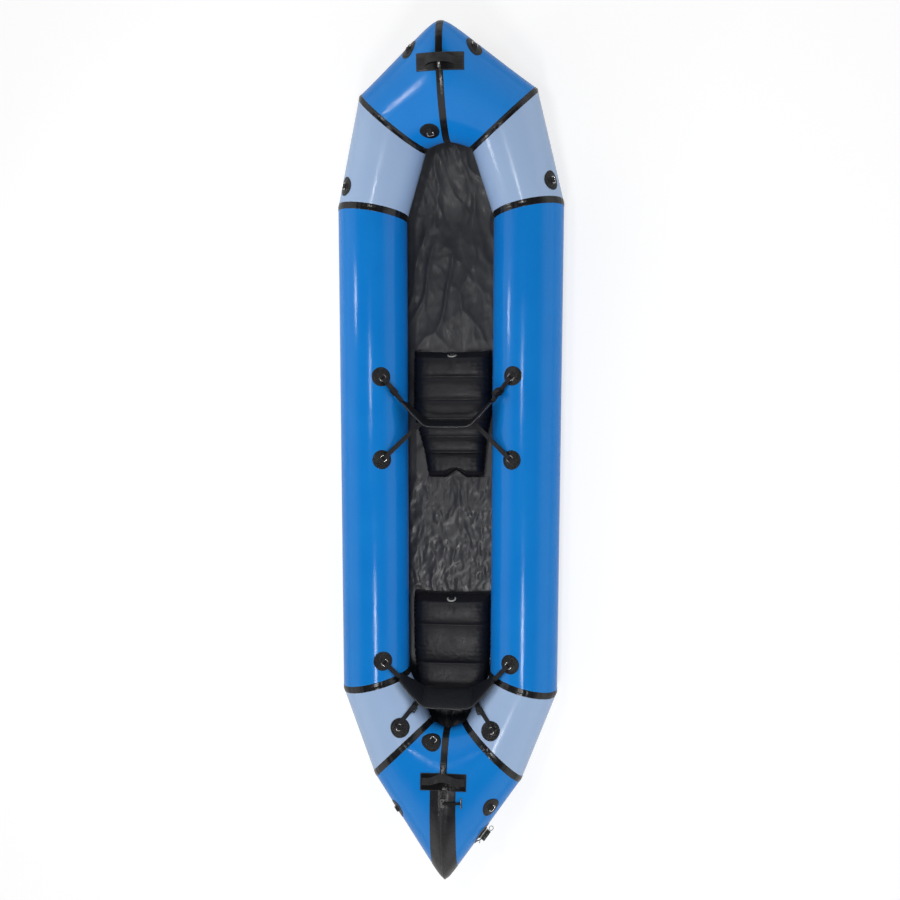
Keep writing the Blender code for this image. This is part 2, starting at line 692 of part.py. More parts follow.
# Half of a back band from its middle to its end: reach, advance, height and thickness, the height
# as a share of the way from the end's to the middle's
BAND_STATION_SHARES = ((0.0, 0.0, 1.0, 1.0), (0.25, 0.0, 1.0, 1.0), (0.43, 0.02, 1.0, 0.8),
                       (0.53, 0.10, 0.95, 0.8), (0.76, 0.52, 0.62, 1.0), (0.95, 0.92, 0.16, 0.85),
                       (1.0, 1.0, 0.0, 0.45))
# Outline across a band: shares of its thickness and height
BAND_OUTLINE_SHARES = ((0.5, 0.0), (0.45, 0.36), (0.2, 0.5), (-0.2, 0.5), (-0.45, 0.36),
                       (-0.5, 0.0), (-0.45, -0.36), (-0.2, -0.5), (0.2, -0.5), (0.45, -0.36))
# Where on the half band its fore and aft straps are sewn: share of its reach, of its advance, and
# of its height over the middle
BAND_SEAM_SHARES = {"fore": (1.0, 1.0, 0.0), "aft": (0.57, 0.13, 0.14)}
# Bands: reach, place of the middle ahead of the origin, degrees that the top leans aft
BANDS = {
    "front": (FRONT_BAND_REACH, FRONT_BAND_PLACE, 10.0),
    "rear": (REAR_BAND_REACH, REAR_BAND_PLACE, 38.0),
}
BAND_ADVANCE = 0.087
BAND_END_RISE = 0.034


def band_up(band):
    """Direction up the leaning band."""
    lean = math.radians(BANDS[band][2])
    return np.array([0.0, -math.sin(lean), math.cos(lean)])


def band_point(band, reach_share, advance_share, height_share=0.0):
    """Point in the middle of a band's thickness on the starboard half."""
    reach, place, _ = BANDS[band]
    centre = np.array([reach_share * reach, place + advance_share * BAND_ADVANCE,
                       BAND_CENTRE_HEIGHT + advance_share * BAND_END_RISE])
    return centre + band_up(band) * height_share * BAND_HEIGHT


def band_mesh(band):
    """Lofted pad of a back band, creased where it bends round the paddler's back."""
    up = band_up(band)
    centres = [band_point(band, reach, advance) for reach, advance, _, _ in BAND_STATION_SHARES]
    sections = []
    for k, (_, _, height_share, thickness_share) in enumerate(BAND_STATION_SHARES):
        before, after = centres[max(k - 1, 0)], centres[min(k + 1, len(centres) - 1)]
        if k == 0:
            before = mirrored(after, -1.0)
        front = np.cross(up, after - before)
        front /= np.linalg.norm(front)
        height = BAND_END_HEIGHT + (BAND_HEIGHT - BAND_END_HEIGHT) * height_share
        thickness = BAND_THICKNESS * thickness_share
        sections.append([centres[k] + front * a * thickness + up * b * height
                         for a, b in BAND_OUTLINE_SHARES])
    half = np.array(sections)
    rows = np.concatenate([mirrored(half[:0:-1], -1.0), half])
    count, sides = rows.shape[:2]
    faces = grid_faces(count, sides, wrap=True)
    last = (count - 1) * sides
    faces += [tuple(range(sides))[::-1], tuple(range(last, last + sides))]
    return mesh_of(band + "_back_band", rows.reshape(-1, 3), faces)


def strap_anchor(name, place, target, cloth, steel):
    """Patch, loop and D-ring that hold a strap, the ring turned towards the strap's far end.
    Returns the middle of the ring's bow and the direction of its bar."""
    _, forward, around, normal, _ = panel_axes(place[0], place[1], math.radians(place[2]))
    forward, around, normal = (mirrored(axis, place[3]) for axis in (forward, around, normal))
    patch_top = GLUE_GAP + PATCH_THICKNESS
    bar = patch_top + RING_SEAT_SHARE * RING_WIRE / 2
    origin = np.array(hull_frame(place, lift=bar).translation)
    direction = (target - origin) / np.linalg.norm(target - origin)
    heading = math.degrees(math.atan2(direction @ around, direction @ forward))
    rise = max(math.asin(direction @ normal), math.radians(HELD_RING_REST))
    frame = hull_frame(place, heading, bar) @ Matrix.Rotation(-rise, 4, "Y")
    anchor, _ = lash_patch(f"strap_anchor_{name}", place, heading, cloth)
    ring = wire_ring(f"strap_ring_{name}", frame, steel)
    combine(anchor, [meshed(ring, CUTTERS)])
    bow = np.array((frame @ Matrix.Translation((RING_DEPTH - RING_WIRE, 0.0, 0.0))).translation)
    return bow, np.array(frame.col[1][:3]), normal


def strap(name, bow, bar_axis, normal, target, material):
    """Webbing doubled round a D-ring's bow, both plies running to the target."""
    along = target - bow
    length = np.linalg.norm(along)
    along /= length
    out = np.cross(along, bar_axis)
    out /= np.linalg.norm(out) * (1.0 if out @ normal > 0 else -1.0)
    across = np.cross(out, along)
    room = RING_WIRE / 2 + 2 * RING_PLAY
    ply = STRAP_PLY_GAP / 2
    turn = np.radians((60.0, 120.0, 180.0, 240.0, 300.0))
    places = [(length, ply), (5 * room, ply)]
    places += [(room * math.cos(a), room * math.sin(a)) for a in turn]
    places += [(5 * room, -ply), (length, -ply)]
    rows = [[bow + along * s + out * h + across * w * STRAP_WIDTH / 2 for w in (-1.0, 1.0)]
            for s, h in places]
    return skin(name, np.array(rows), out, WEBBING_THICKNESS, material, collection=CUTTERS)


def tri_glide(name, bow, bar_axis, normal, target, place_share, material):
    """Three-bar slide on a doubled strap, its X along the strap and Z out of it."""
    along = target - bow
    frame = axes_frame(bow + along * place_share, along, np.cross(along, bar_axis)
                       * (1.0 if np.cross(along, bar_axis) @ normal > 0 else -1.0))
    hollow = STRAP_PLY_GAP + 2 * WEBBING_THICKNESS + 2 * RING_PLAY
    width = STRAP_WIDTH + 2 * RING_PLAY
    body = box(name, (GLIDE_LENGTH, width + 2 * GLIDE_WALL, hollow + GLIDE_WALL), frame, material)
    tunnel = box(name + "_tunnel", (2 * GLIDE_LENGTH, width, hollow), frame, material, CUTTERS)
    window = (GLIDE_LENGTH - 3 * GLIDE_WALL) / 2
    cuts = [tunnel]
    for side, shift in (("fore", 1.0), ("aft", -1.0)):
        place = frame @ Matrix.Translation((shift * (window + GLIDE_WALL) / 2, 0.0, 0.0))
        cuts.append(box(f"{name}_window_{side}", (window, width - STRAP_PLY_GAP, 2 * width), place,
                        material, CUTTERS))
    return combine(body, cuts, "DIFFERENCE")


# Where each tri-glide sits on its strap: share of the way from the D-ring to the band
GLIDE_PLACE_SHARES = {"front": 0.55, "rear": 0.6}


def add_back_bands():
    """Back bands with their straps sewn on, the straps' anchors, and the tri-glides."""
    padding = finish_of("band_cloth_black", "26272B", 0.7)
    cloth = finish_of("anchor_webbing_black", "1E1E21", 0.55)
    steel = finish_of("anchor_ring_metal", "2A2B2E", 0.25, 0.9)
    plastic = finish_of("tri_glide_plastic", "17181A", 0.35)
    for band in BANDS:
        straps = []
        for end in ("fore", "aft"):
            seat = band_point(band, *BAND_SEAM_SHARES[end])
            for side_name, side in SIDES.items():
                name = f"{band}_{end}_{side_name}"
                place = (*ANCHOR_PLACES[f"{band}_{end}"], side)
                target = mirrored(seat, side)
                held = strap_anchor(name, place, target, cloth, steel)
                straps.append(strap(f"strap_{name}", *held, target, padding))
                if (band, end) in (("front", "fore"), ("rear", "aft")):
                    tri_glide(f"tri_glide_{band}_{side_name}", *held, target,
                              GLIDE_PLACE_SHARES[band], plastic)
        name = f"{band}_back_band"
        combine(add_object(name, band_mesh(band), padding), straps)


# Rows of the seat pads from the front edge to the back one: shares of the length, of the height
# and of the half width. The second and third rows bound the flat that carries the valve
FRONT_PAD_SHARES = (
    (0.0, 0.30, 0.93), (0.010, 0.45, 0.95), (0.055, 0.95, 0.98), (0.11, 1.0, 1.0),
    (0.235, 0.99, 1.0), (0.26, 0.86, 1.0), (0.285, 0.99, 1.0), (0.405, 1.0, 1.0),
    (0.43, 0.86, 1.0), (0.455, 1.0, 1.0), (0.575, 0.98, 0.97), (0.60, 0.86, 0.93),
    (0.625, 0.97, 0.86), (0.77, 0.93, 0.78), (0.795, 0.82, 0.77), (0.82, 0.92, 0.76),
    (0.93, 0.86, 0.74), (0.98, 0.62, 0.70), (1.0, 0.30, 0.66))
REAR_PAD_SHARES = (
    (0.0, 0.30, 0.93), (0.012, 0.45, 0.95), (0.064, 0.95, 0.98), (0.125, 1.0, 1.0),
    (0.235, 0.98, 1.0), (0.26, 0.84, 1.0), (0.285, 0.98, 1.0), (0.445, 1.0, 1.0),
    (0.47, 0.86, 1.0), (0.495, 1.0, 0.99), (0.64, 0.98, 0.95), (0.665, 0.85, 0.93),
    (0.69, 0.96, 0.90), (0.86, 0.90, 0.82), (0.955, 0.70, 0.78), (1.0, 0.30, 0.74))
# Columns from the middle out: share of the half width, and of the crown's rise over the rim
PAD_COLUMN_SHARES = ((0.0, 1.0), (0.36, 1.0), (0.72, 0.93), (0.93, 0.62), (1.0, 0.0))
PAD_RIM_SHARE = 0.30
# Pads: length, place ahead of the origin, rows, and depth of the notch in the back edge
PADS = {
    "front": (FRONT_PAD_LENGTH, FRONT_PAD_PLACE, FRONT_PAD_SHARES, 0.055),
    "rear": (REAR_PAD_LENGTH, REAR_PAD_PLACE, REAR_PAD_SHARES, 0.0),
}


def pad_rows(pad):
    """Points of a pad's upper side, a row for each station along it, port to starboard."""
    length, place, stations, notch_share = PADS[pad]
    columns = [(-u, crown) for u, crown in PAD_COLUMN_SHARES[:0:-1]] + list(PAD_COLUMN_SHARES)
    rows = []
    for v, height_share, width_share in stations:
        row = []
        for u, crown in columns:
            notch = notch_share * max(0.0, 1.0 - abs(u) / PAD_COLUMN_SHARES[1][0])
            notch *= max(0.0, (v - stations[-3][0]) / (1.0 - stations[-3][0]))
            height = PAD_RIM_SHARE + (height_share - PAD_RIM_SHARE) * crown
            y = place + length * (0.5 - v + notch)
            row.append((u * width_share * PAD_HALF_WIDTH, y,
                        floor_height(y) + GLUE_GAP + height * PAD_HEIGHT))
        rows.append(row)
    return np.array(rows)


def add_pad(pad, material):
    """Seat pad: a pillow with a crowned top, channels across it and its bottom on the floor."""
    upper = pad_rows(pad)
    lower = upper.copy()
    for row in lower[1:-1]:
        for point in row[1:-1]:
            point[2] = floor_height(point[1]) + GLUE_GAP
    rows, columns = upper.shape[:2]
    vertices = np.concatenate([upper.reshape(-1, 3), lower.reshape(-1, 3)])
    on_rim = (upper[..., 2] == lower[..., 2]).ravel()
    faces = [face for face in grid_faces(rows, columns) if not on_rim[list(face)].all()]
    faces += [tuple(corner + rows * columns for corner in face[::-1]) for face in faces]
    name = f"{pad}_seat_pad"
    add_object(name, mesh_of(name, vertices, faces), material)


def add_seat_valve(pad, pale, black):
    """Twist valve on the flat of a pad's front: a flange with a neck, and a cap over the neck."""
    rows = pad_rows(pad)
    middle = rows.shape[1] // 2
    low, high = rows[1, middle], rows[2, middle]
    slope = high - low
    normal = np.array([0.0, slope[2], -slope[1]])
    normal /= np.linalg.norm(normal)
    frame = axes_frame((low + high) / 2 + normal * SEAM_GAP, (1.0, 0.0, 0.0), normal)
    radius, neck = SEAT_VALVE_DIAMETER / 2, SEAT_NECK_DIAMETER / 2
    flange, cap_radius = SEAT_FLANGE_THICKNESS, SEAT_CAP_DIAMETER / 2
    inner_top = flange + SEAM_GAP + SEAT_CAP_HEIGHT - CAP_WALL
    neck_top = inner_top - THREAD_PLAY
    turned(f"{pad}_seat_valve", [(0.0, neck_top), (neck, neck_top), (neck, flange),
           (radius - flange / 2, flange), (radius, flange / 2), (radius, 0.0), (0.0, 0.0)], frame, pale)
    low, top, edge = flange + SEAM_GAP, inner_top + CAP_WALL, CAP_WALL / 2
    inside = neck + THREAD_PLAY
    turned(f"{pad}_seat_valve_cap", [(0.0, top), (cap_radius - edge, top), (cap_radius, top - edge),
           (cap_radius, low), (inside, low), (inside, inner_top), (0.0, inner_top)], frame, black)


def add_seats():
    cushion = finish_of("seat_cloth_black", "222327", 0.62)
    pale = finish_of("seat_valve_pale", "C9C5BC", 0.45)
    black = finish_of("seat_valve_cap_black", "17181A", 0.4)
    for pad in PADS:
        add_pad(pad, cushion)
        add_seat_valve(pad, pale, black)


MAIN_VALVE_PLACE = ("stern_end", 0.515, 7.5, 1.0)
# Degrees from the panel's direction in which the cap's tether lies
TETHER_HEADING = 35.0


def add_main_valve():
    """One-way valve by the stern: patch, flange with its neck, seal ring, screw cap and tether."""
    place = MAIN_VALVE_PLACE
    out = outward_at(place)
    patch_top = GLUE_GAP + PATCH_THICKNESS
    skin("main_valve_patch", disc(place, MAIN_PATCH_DIAMETER, GLUE_GAP), out, PATCH_THICKNESS,
         finish_of("main_valve_patch_grey", "55585E", 0.6))
    black = finish_of("main_valve_black", "1A1B1D", 0.4)
    base = skin("main_valve_base", disc(place, MAIN_VALVE_DIAMETER, patch_top + SEAM_GAP), out,
                MAIN_FLANGE_THICKNESS, black)
    frame = hull_frame(place, lift=patch_top + SEAM_GAP + MAIN_FLANGE_THICKNESS)
    outer, bore, sunk = MAIN_VALVE_NECK / 2, MAIN_VALVE_BORE / 2, -0.6 * MAIN_FLANGE_THICKNESS
    neck = turned("main_valve_neck", [(outer, MAIN_NECK_HEIGHT), (outer, sunk), (bore, sunk),
                  (bore, MAIN_NECK_HEIGHT)], frame, black, closed=True, collection=CUTTERS)
    combine(base, [neck])
    seal_top = SEAM_GAP + SEAL_HEIGHT
    inside = outer + THREAD_PLAY
    turned("main_valve_seal_ring", [(SEAL_DIAMETER / 2, seal_top), (SEAL_DIAMETER / 2, SEAM_GAP),
           (inside, SEAM_GAP), (inside, seal_top)], frame,
           finish_of("main_valve_seal_pale", "C9C5BC", 0.45), closed=True)
    low, radius, edge = seal_top + 2 * SEAM_GAP, MAIN_CAP_DIAMETER / 2, CAP_WALL / 2
    top = low + MAIN_CAP_HEIGHT
    groove_low = low + CAP_WALL
    groove_top = groove_low + TETHER_THICKNESS + 2 * SEAM_GAP
    groove = radius - edge
    turned("main_valve_cap", [(0.0, top), (radius - edge, top), (radius, top - edge),
           (radius, groove_top), (groove, groove_top), (groove, groove_low), (radius, groove_low),
           (radius, low), (inside, low), (inside, top - CAP_WALL), (0.0, top - CAP_WALL)], frame,
           finish_of("main_valve_cap_black", "151617", 0.35))
    level = groove_low + SEAM_GAP
    hole, rim = groove + SEAM_GAP, radius + TETHER_REACH
    ring = turned("main_valve_tether", [(rim, level + TETHER_THICKNESS), (rim, level), (hole, level),
                  (hole, level + TETHER_THICKNESS)], frame,
                  finish_of("main_valve_tether_black", "202124", 0.5), closed=True)
    raised = patch_top + SEAM_GAP + MAIN_FLANGE_THICKNESS + level
    resting = patch_top + MAIN_FLANGE_THICKNESS
    start = radius + TETHER_REACH / 2
    ahead = start + TETHER_LENGTH * np.array([0.0, 0.15, 0.4, 0.65, 1.0])[:, None] * np.ones(2)
    fall = np.array([1.0, 0.95, 0.55, 0.1, 0.0])[:, None] * np.ones(2)
    across = np.array([-TETHER_WIDTH / 2, TETHER_WIDTH / 2]) * np.ones((5, 1))
    strip = on_hull(place, TETHER_HEADING, ahead, across, resting + (raised - resting) * fall)
    combine(ring, [skin("main_valve_tether_strip", strip, out, TETHER_THICKNESS, black,
                        collection=CUTTERS)])


# Middles of the grab handles around the centre rings, in degrees
HANDLE_ANGLES = {"bow": 58.0, "stern": 112.8}
# Layers of tape under a handle's patch: the stern's also covers the top corners of the zipper tape
LAYERS_UNDER_PATCH = {"bow": 1, "stern": 2}
# Rows of a handle's patch, shares of half its width
HANDLE_PATCH_ROWS = np.array([-1.0, -0.5, 0.0, 0.5, 1.0])
# Handle webbing from its end to its middle: share of the arch's half width, share of the rise
HANDLE_ARCH_SHARES = ((0.83, 0.30), (0.6, 0.70), (0.3, 0.95))


def centre_turn(end, angle, width):
    """Degrees of an end's centre ring that a width takes at an angle."""
    tiny = 1e-3
    points = end_ring(end, np.radians([angle, angle + tiny]))[0]
    return width * tiny / np.linalg.norm(points[1] - points[0])


def add_handles():
    """Grab handles: a patch over each tip's crest with a webbing arch sewn on."""
    cloth = finish_of("handle_webbing_black", "1C1C1F", 0.55)
    for end, angle in HANDLE_ANGLES.items():
        patch_lift = GLUE_GAP + TAPE_THICKNESS * LAYERS_UNDER_PATCH[end]
        panel = end + "_end"
        half = centre_turn(end, angle, HANDLE_PATCH_WIDTH / 2)
        places = both_ways([TAPE_WIDTH / 2, ZIPPER_WIDTH / 3, HANDLE_PATCH_LENGTH / 3,
                            HANDLE_PATCH_LENGTH / 2])
        angles = np.radians(angle + half * HANDLE_PATCH_ROWS)
        sheet, out = across_tip(panel, angles, places, patch_lift, square=True)
        skin(f"{end}_handle_patch", sheet, out, PATCH_THICKNESS, cloth, falling=len(places) // 2)
        half = math.radians(centre_turn(end, angle, HANDLE_WIDTH / 2))
        edges = math.radians(angle) + np.array([-half, 0.0, half])
        foot = patch_lift + PATCH_THICKNESS + GLUE_GAP + SEAM_GAP
        arch = HANDLE_LENGTH / 2 - HANDLE_FOOT
        outer = [(HANDLE_LENGTH / 2, foot), (HANDLE_LENGTH / 2 - HANDLE_FOOT / 2, foot), (arch, foot)]
        outer += [(share * arch, foot + rise * HANDLE_RISE) for share, rise in HANDLE_ARCH_SHARES]
        signed = [(-x, lift) for x, lift in outer] + [(0.0, foot + HANDLE_RISE)] + outer[::-1]
        sheet, out = across_tip(panel, edges, [x for x, _ in signed], [lift for _, lift in signed],
                                square=True)
        skin(f"{end}_handle", sheet, out, WEBBING_THICKNESS, cloth, falling=len(signed) // 2)


# Where the slider rests near the top of the zipper, and how far it runs down towards the tip
SLIDER_ANGLE = 97.0
SLIDER_RUN_END = 56.0
PIN_LIFT = 0.0055
EAR_THICKNESS = 0.003


def chain_point(angle):
    """Middle of the chain's crown at an angle of the stern's centre ring, in degrees."""
    lift = GLUE_GAP + TAPE_THICKNESS / 2 + CHAIN_HEIGHT
    return panel_point("stern_end", 1.0, math.radians(angle), lift)


def slider_hinge():
    """Centre of the circle through three points of the chain, on which the slider runs."""
    a, b, c = (chain_point(angle)[1:] for angle in
               (SLIDER_ANGLE, (SLIDER_ANGLE + SLIDER_RUN_END) / 2, SLIDER_RUN_END))
    lines = np.array([b - a, c - a])
    return np.linalg.solve(lines, np.array([(b @ b - a @ a) / 2, (c @ c - a @ a) / 2]))


def add_zipper():
    """Stern zipper: tape with its chain, the slider on the chain, its pull, and the end patch."""
    rubber = finish_of("zipper_tape_black", "2B2C30", 0.35)
    black = finish_of("zipper_slider_black", "1A1B1D", 0.4)
    corners = span_angles(ZIPPER_TIP_ANGLE, ZIPPER_TOP_ANGLE)
    angles = np.sort(np.concatenate([corners, (corners[1:] + corners[:-1]) / 2]))
    places = both_ways([TAPE_WIDTH / 2, ZIPPER_WIDTH / 3, ZIPPER_WIDTH / 2])
    sheet, out = across_tip("stern_end", angles, places, GLUE_GAP)
    band = skin("zipper_band", sheet, out, TAPE_THICKNESS, rubber, falling=len(places) // 2)
    sheet, out = across_tip("stern_end", angles, both_ways([TAPE_WIDTH / 2]),
                            GLUE_GAP + TAPE_THICKNESS / 2)
    crown = sheet[:, 1:2] + (sheet - sheet[:, 1:2]) * CHAIN_WIDTH / TAPE_WIDTH
    chain = skin("zipper_chain", crown, out, CHAIN_HEIGHT, rubber, falling=1, collection=CUTTERS)
    combine(band, [chain])
    start = ZIPPER_TIP_ANGLE - centre_turn("stern", 0.0, TAPE_THICKNESS)
    angles = span_angles(start - centre_turn("stern", 0.0, END_PATCH_LENGTH), start)
    places = both_ways([TAPE_WIDTH / 2, END_PATCH_LENGTH / 2])
    sheet, out = across_tip("stern_end", angles, places, TAPE_THICKNESS + GLUE_GAP)
    skin("zipper_end_patch", sheet, out, PATCH_THICKNESS,
         finish_of("zipper_end_patch_grey", "6B6E75", 0.5), falling=len(places) // 2)

    crest = chain_point(SLIDER_ANGLE)
    towards_tip = chain_point(SLIDER_ANGLE - 1.0) - crest
    hinge = np.array([0.0, *slider_hinge()])
    frame = axes_frame(crest, towards_tip, crest - hinge)
    low, top = SLIDER_PLAY / 2 - CHAIN_HEIGHT, SLIDER_PLAY + SLIDER_WALL
    middle = frame @ Matrix.Translation((0.0, 0.0, (low + top) / 2))
    slider = box("zipper_slider", (SLIDER_LENGTH, SLIDER_WIDTH, top - low), middle, black)
    rounding = slider.modifiers.new("edges", "BEVEL")
    rounding.width = SLIDER_WALL * 0.6
    rounding.segments = 1
    room = CHAIN_WIDTH + 2 * CHAIN_SIDE_PLAY
    channel = box("zipper_slider_channel", (2 * SLIDER_LENGTH, room, 2 * CHAIN_HEIGHT),
                  frame @ Matrix.Translation((0.0, 0.0, SLIDER_PLAY - CHAIN_HEIGHT)), black, CUTTERS)
    combine(slider, [channel], "DIFFERENCE")
    pin = top + PIN_LIFT
    ear_top = pin + PULL_EYE_DIAMETER / 2
    eye_half = PULL_WIDTH / 2 + PIN_PLAY
    ears = []
    for side, shift in (("fore", -1.0), ("aft", 1.0)):
        place = Matrix.Translation((shift * (eye_half + EAR_THICKNESS / 2), 0.0,
                                    (ear_top + top - SLIDER_WALL / 2) / 2))
        ears.append(box(f"zipper_ear_{side}", (EAR_THICKNESS, PULL_EYE_DIAMETER,
                        ear_top - top + SLIDER_WALL / 2), frame @ place, black, CUTTERS))
    pin_frame = frame @ Matrix.Translation((0.0, 0.0, pin))
    pin_rod = rod("zipper_pull_pin", PULL_PIN_DIAMETER, 2 * eye_half + EAR_THICKNESS, pin_frame,
                  black, CUTTERS, 8)
    combine(slider, ears + [pin_rod])

    pin_place = np.array(pin_frame.translation)
    axis = np.array(frame.col[0][:3])
    lift = TAPE_THICKNESS + PULL_BAR_DIAMETER / 2 + CHAIN_SIDE_PLAY
    turn = math.radians(SLIDER_ANGLE)
    out_to = off_centre("stern_end", PULL_LENGTH, turn)
    reach = panel_point("stern_end", out_to, turn, lift) - pin_place
    reach -= axis * (reach @ axis)
    pull_frame = axes_frame(pin_place, axis, np.cross(axis, reach))
    forward = 1.0 if Vector(reach).dot(pull_frame.col[1].to_3d()) > 0 else -1.0
    stem_start = PULL_PIN_DIAMETER / 2 + 2 * PIN_PLAY
    stem_middle = forward * (stem_start + PULL_LENGTH) / 2
    eye = rod("zipper_pull", PULL_EYE_DIAMETER, PULL_WIDTH, pull_frame, black, sides=12)
    stem = box("zipper_pull_stem", (PULL_WIDTH, PULL_LENGTH - stem_start, PULL_THICKNESS),
               pull_frame @ Matrix.Translation((0.0, stem_middle, 0.0)), black, CUTTERS)
    bar = rod("zipper_pull_bar", PULL_BAR_DIAMETER, PULL_BAR_LENGTH,
              pull_frame @ Matrix.Translation((0.0, forward * PULL_LENGTH, 0.0)), black, CUTTERS, 12)
    combine(eye, [stem, bar])
    hole = rod("zipper_pull_hole", PULL_PIN_DIAMETER + 2 * PIN_PLAY, 2 * PULL_WIDTH, pull_frame,
               black, CUTTERS, 8)
    combine(eye, [hole], "DIFFERENCE")


start_scene()
add_hull()
add_floor()
add_lash_points()
add_back_bands()
add_seats()
add_main_valve()
add_handles()
add_zipper()
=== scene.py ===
"""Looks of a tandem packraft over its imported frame, in metres, +X starboard, +Y bow, +Z up.

The file follows the boat as it is put together: air tube, seam tapes, floor, lashing points, seats,
back bands, valves, handles and zipper. Every piece is laid on the hull by the same surface formula.
"""
import math

import bmesh
import bpy
import numpy as np
from mathutils import Matrix


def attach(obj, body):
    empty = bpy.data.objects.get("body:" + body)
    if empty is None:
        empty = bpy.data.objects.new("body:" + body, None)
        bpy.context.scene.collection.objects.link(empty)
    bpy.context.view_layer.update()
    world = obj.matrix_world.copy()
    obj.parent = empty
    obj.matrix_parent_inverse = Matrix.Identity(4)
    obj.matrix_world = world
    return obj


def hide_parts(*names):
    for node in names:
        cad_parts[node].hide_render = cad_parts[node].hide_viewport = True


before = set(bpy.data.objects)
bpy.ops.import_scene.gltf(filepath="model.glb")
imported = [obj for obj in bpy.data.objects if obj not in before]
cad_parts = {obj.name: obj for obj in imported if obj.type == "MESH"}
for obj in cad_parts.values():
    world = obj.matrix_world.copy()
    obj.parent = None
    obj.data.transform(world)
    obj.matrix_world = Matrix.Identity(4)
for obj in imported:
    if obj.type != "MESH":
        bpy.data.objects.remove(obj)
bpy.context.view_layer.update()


# The studio: a white floor under open white sides, a darker ceiling, and three soft boxes whose
# reflections make the narrow streaks on the tubes. The camera hangs over the boat, 6.5 degrees to
# starboard of plumb.
CAMERA_TARGET = np.array([0.001, 0.038, 0.14])
CAMERA_DISTANCE, CAMERA_LENS, SENSOR_WIDTH = 3.763, 37.63, 36.0
CAMERA_TILT, CAMERA_ROLL = math.radians(6.5), math.radians(0.095)


def srgb(code):
    """Linear colour of a hex code: each channel c becomes ((c + 0.055) / 1.055) ^ 2.4, or c / 12.92
    near black."""
    parts = [int(code[i:i + 2], 16) / 255 for i in (0, 2, 4)]
    return tuple(c / 12.92 if c <= 0.04045 else ((c + 0.055) / 1.055) ** 2.4 for c in parts) + (1.0,)


def node(tree, kind, links=None, **settings):
    """Adds a node of a kind. links gives each input socket, by name or number, a number, a colour or
    another node's output; settings are the node's own properties."""
    new = tree.nodes.new("ShaderNode" + kind)
    for key, value in settings.items():
        setattr(new, key, value)
    for socket, value in (links or {}).items():
        if isinstance(value, bpy.types.NodeSocket):
            tree.links.new(value, new.inputs[socket])
        else:
            new.inputs[socket].default_value = value
    return new


def shaded(name, base, bump=None, rough=None, height=0.001, **numbers):
    """Material with one Principled shader. base, bump and rough are functions of the tree that
    return a colour, a height in 0..1 and a roughness, or base is a hex code; height is how many
    metres the bump's 0..1 spans; numbers go on the shader's own sockets."""
    material = bpy.data.materials.new(name)
    material.use_nodes = True
    tree = material.node_tree
    shader = tree.nodes["Principled BSDF"]
    if isinstance(base, str):
        shader.inputs["Base Color"].default_value = srgb(base)
        material.diffuse_color = srgb(base)
    else:
        tree.links.new(base(tree), shader.inputs["Base Color"])
    if rough:
        tree.links.new(rough(tree), shader.inputs["Roughness"])
    if bump:
        relief = node(tree, "Bump", {"Height": bump(tree), "Distance": height, "Strength": 1.0})
        tree.links.new(relief.outputs[0], shader.inputs["Normal"])
    for socket, value in numbers.items():
        shader.inputs[socket.replace("_", " ")].default_value = value
    return material


def reach(tree, value, low, high, to_low, to_high):
    """The value moved from low..high to to_low..to_high, and held there."""
    return node(tree, "MapRange", {0: value, 1: low, 2: high, 3: to_low, 4: to_high}).outputs[0]


def tint(tree, value, dark, light):
    """Colour from the first hex code at 0 to the second at 1."""
    blend = node(tree, "Mix", {0: value, 6: srgb(dark), 7: srgb(light)}, data_type="RGBA")
    return blend.outputs[2]


def standing(spot, x_axis, y_axis, z_axis):
    """Frame whose columns are the three axes and the spot."""
    frame_of = np.eye(4)
    frame_of[:3] = np.stack([x_axis, y_axis, z_axis, spot], axis=1)
    return Matrix(frame_of.tolist())


def add_camera():
    """Camera at target + distance * n, n leaning towards +X by the tilt, looking back along n, its
    right and up vectors turned by the roll."""
    away = np.array([math.sin(CAMERA_TILT), 0.0, math.cos(CAMERA_TILT)])
    right = np.array([math.cos(CAMERA_TILT), 0.0, -math.sin(CAMERA_TILT)])
    up = np.array([0.0, 1.0, 0.0])
    turn, side = math.cos(CAMERA_ROLL), math.sin(CAMERA_ROLL)
    right, up = right * turn + up * side, up * turn - right * side
    data = bpy.data.cameras.new("overhead_camera")
    data.lens, data.sensor_width, data.clip_end = CAMERA_LENS, SENSOR_WIDTH, 100.0
    camera = bpy.data.objects.new("overhead_camera", data)
    bpy.context.scene.collection.objects.link(camera)
    camera.matrix_world = standing(CAMERA_TARGET + CAMERA_DISTANCE * away, right, up, away)
    bpy.context.scene.camera = camera


def add_soft_box(name, spot, size, power, target=(0.0, 0.3, 0.2)):
    """Rectangular lamp at a spot, facing the target."""
    data = bpy.data.lights.new(name, "AREA")
    data.shape, data.size, data.size_y, data.energy = "RECTANGLE", *size, power
    lamp = bpy.data.objects.new(name, data)
    bpy.context.scene.collection.objects.link(lamp)
    back = np.array(spot) - np.array(target)
    back /= np.linalg.norm(back)
    side = np.cross((0.0, 1.0, 0.0), back)
    side /= np.linalg.norm(side)
    lamp.matrix_world = standing(spot, side, np.cross(back, side), back)


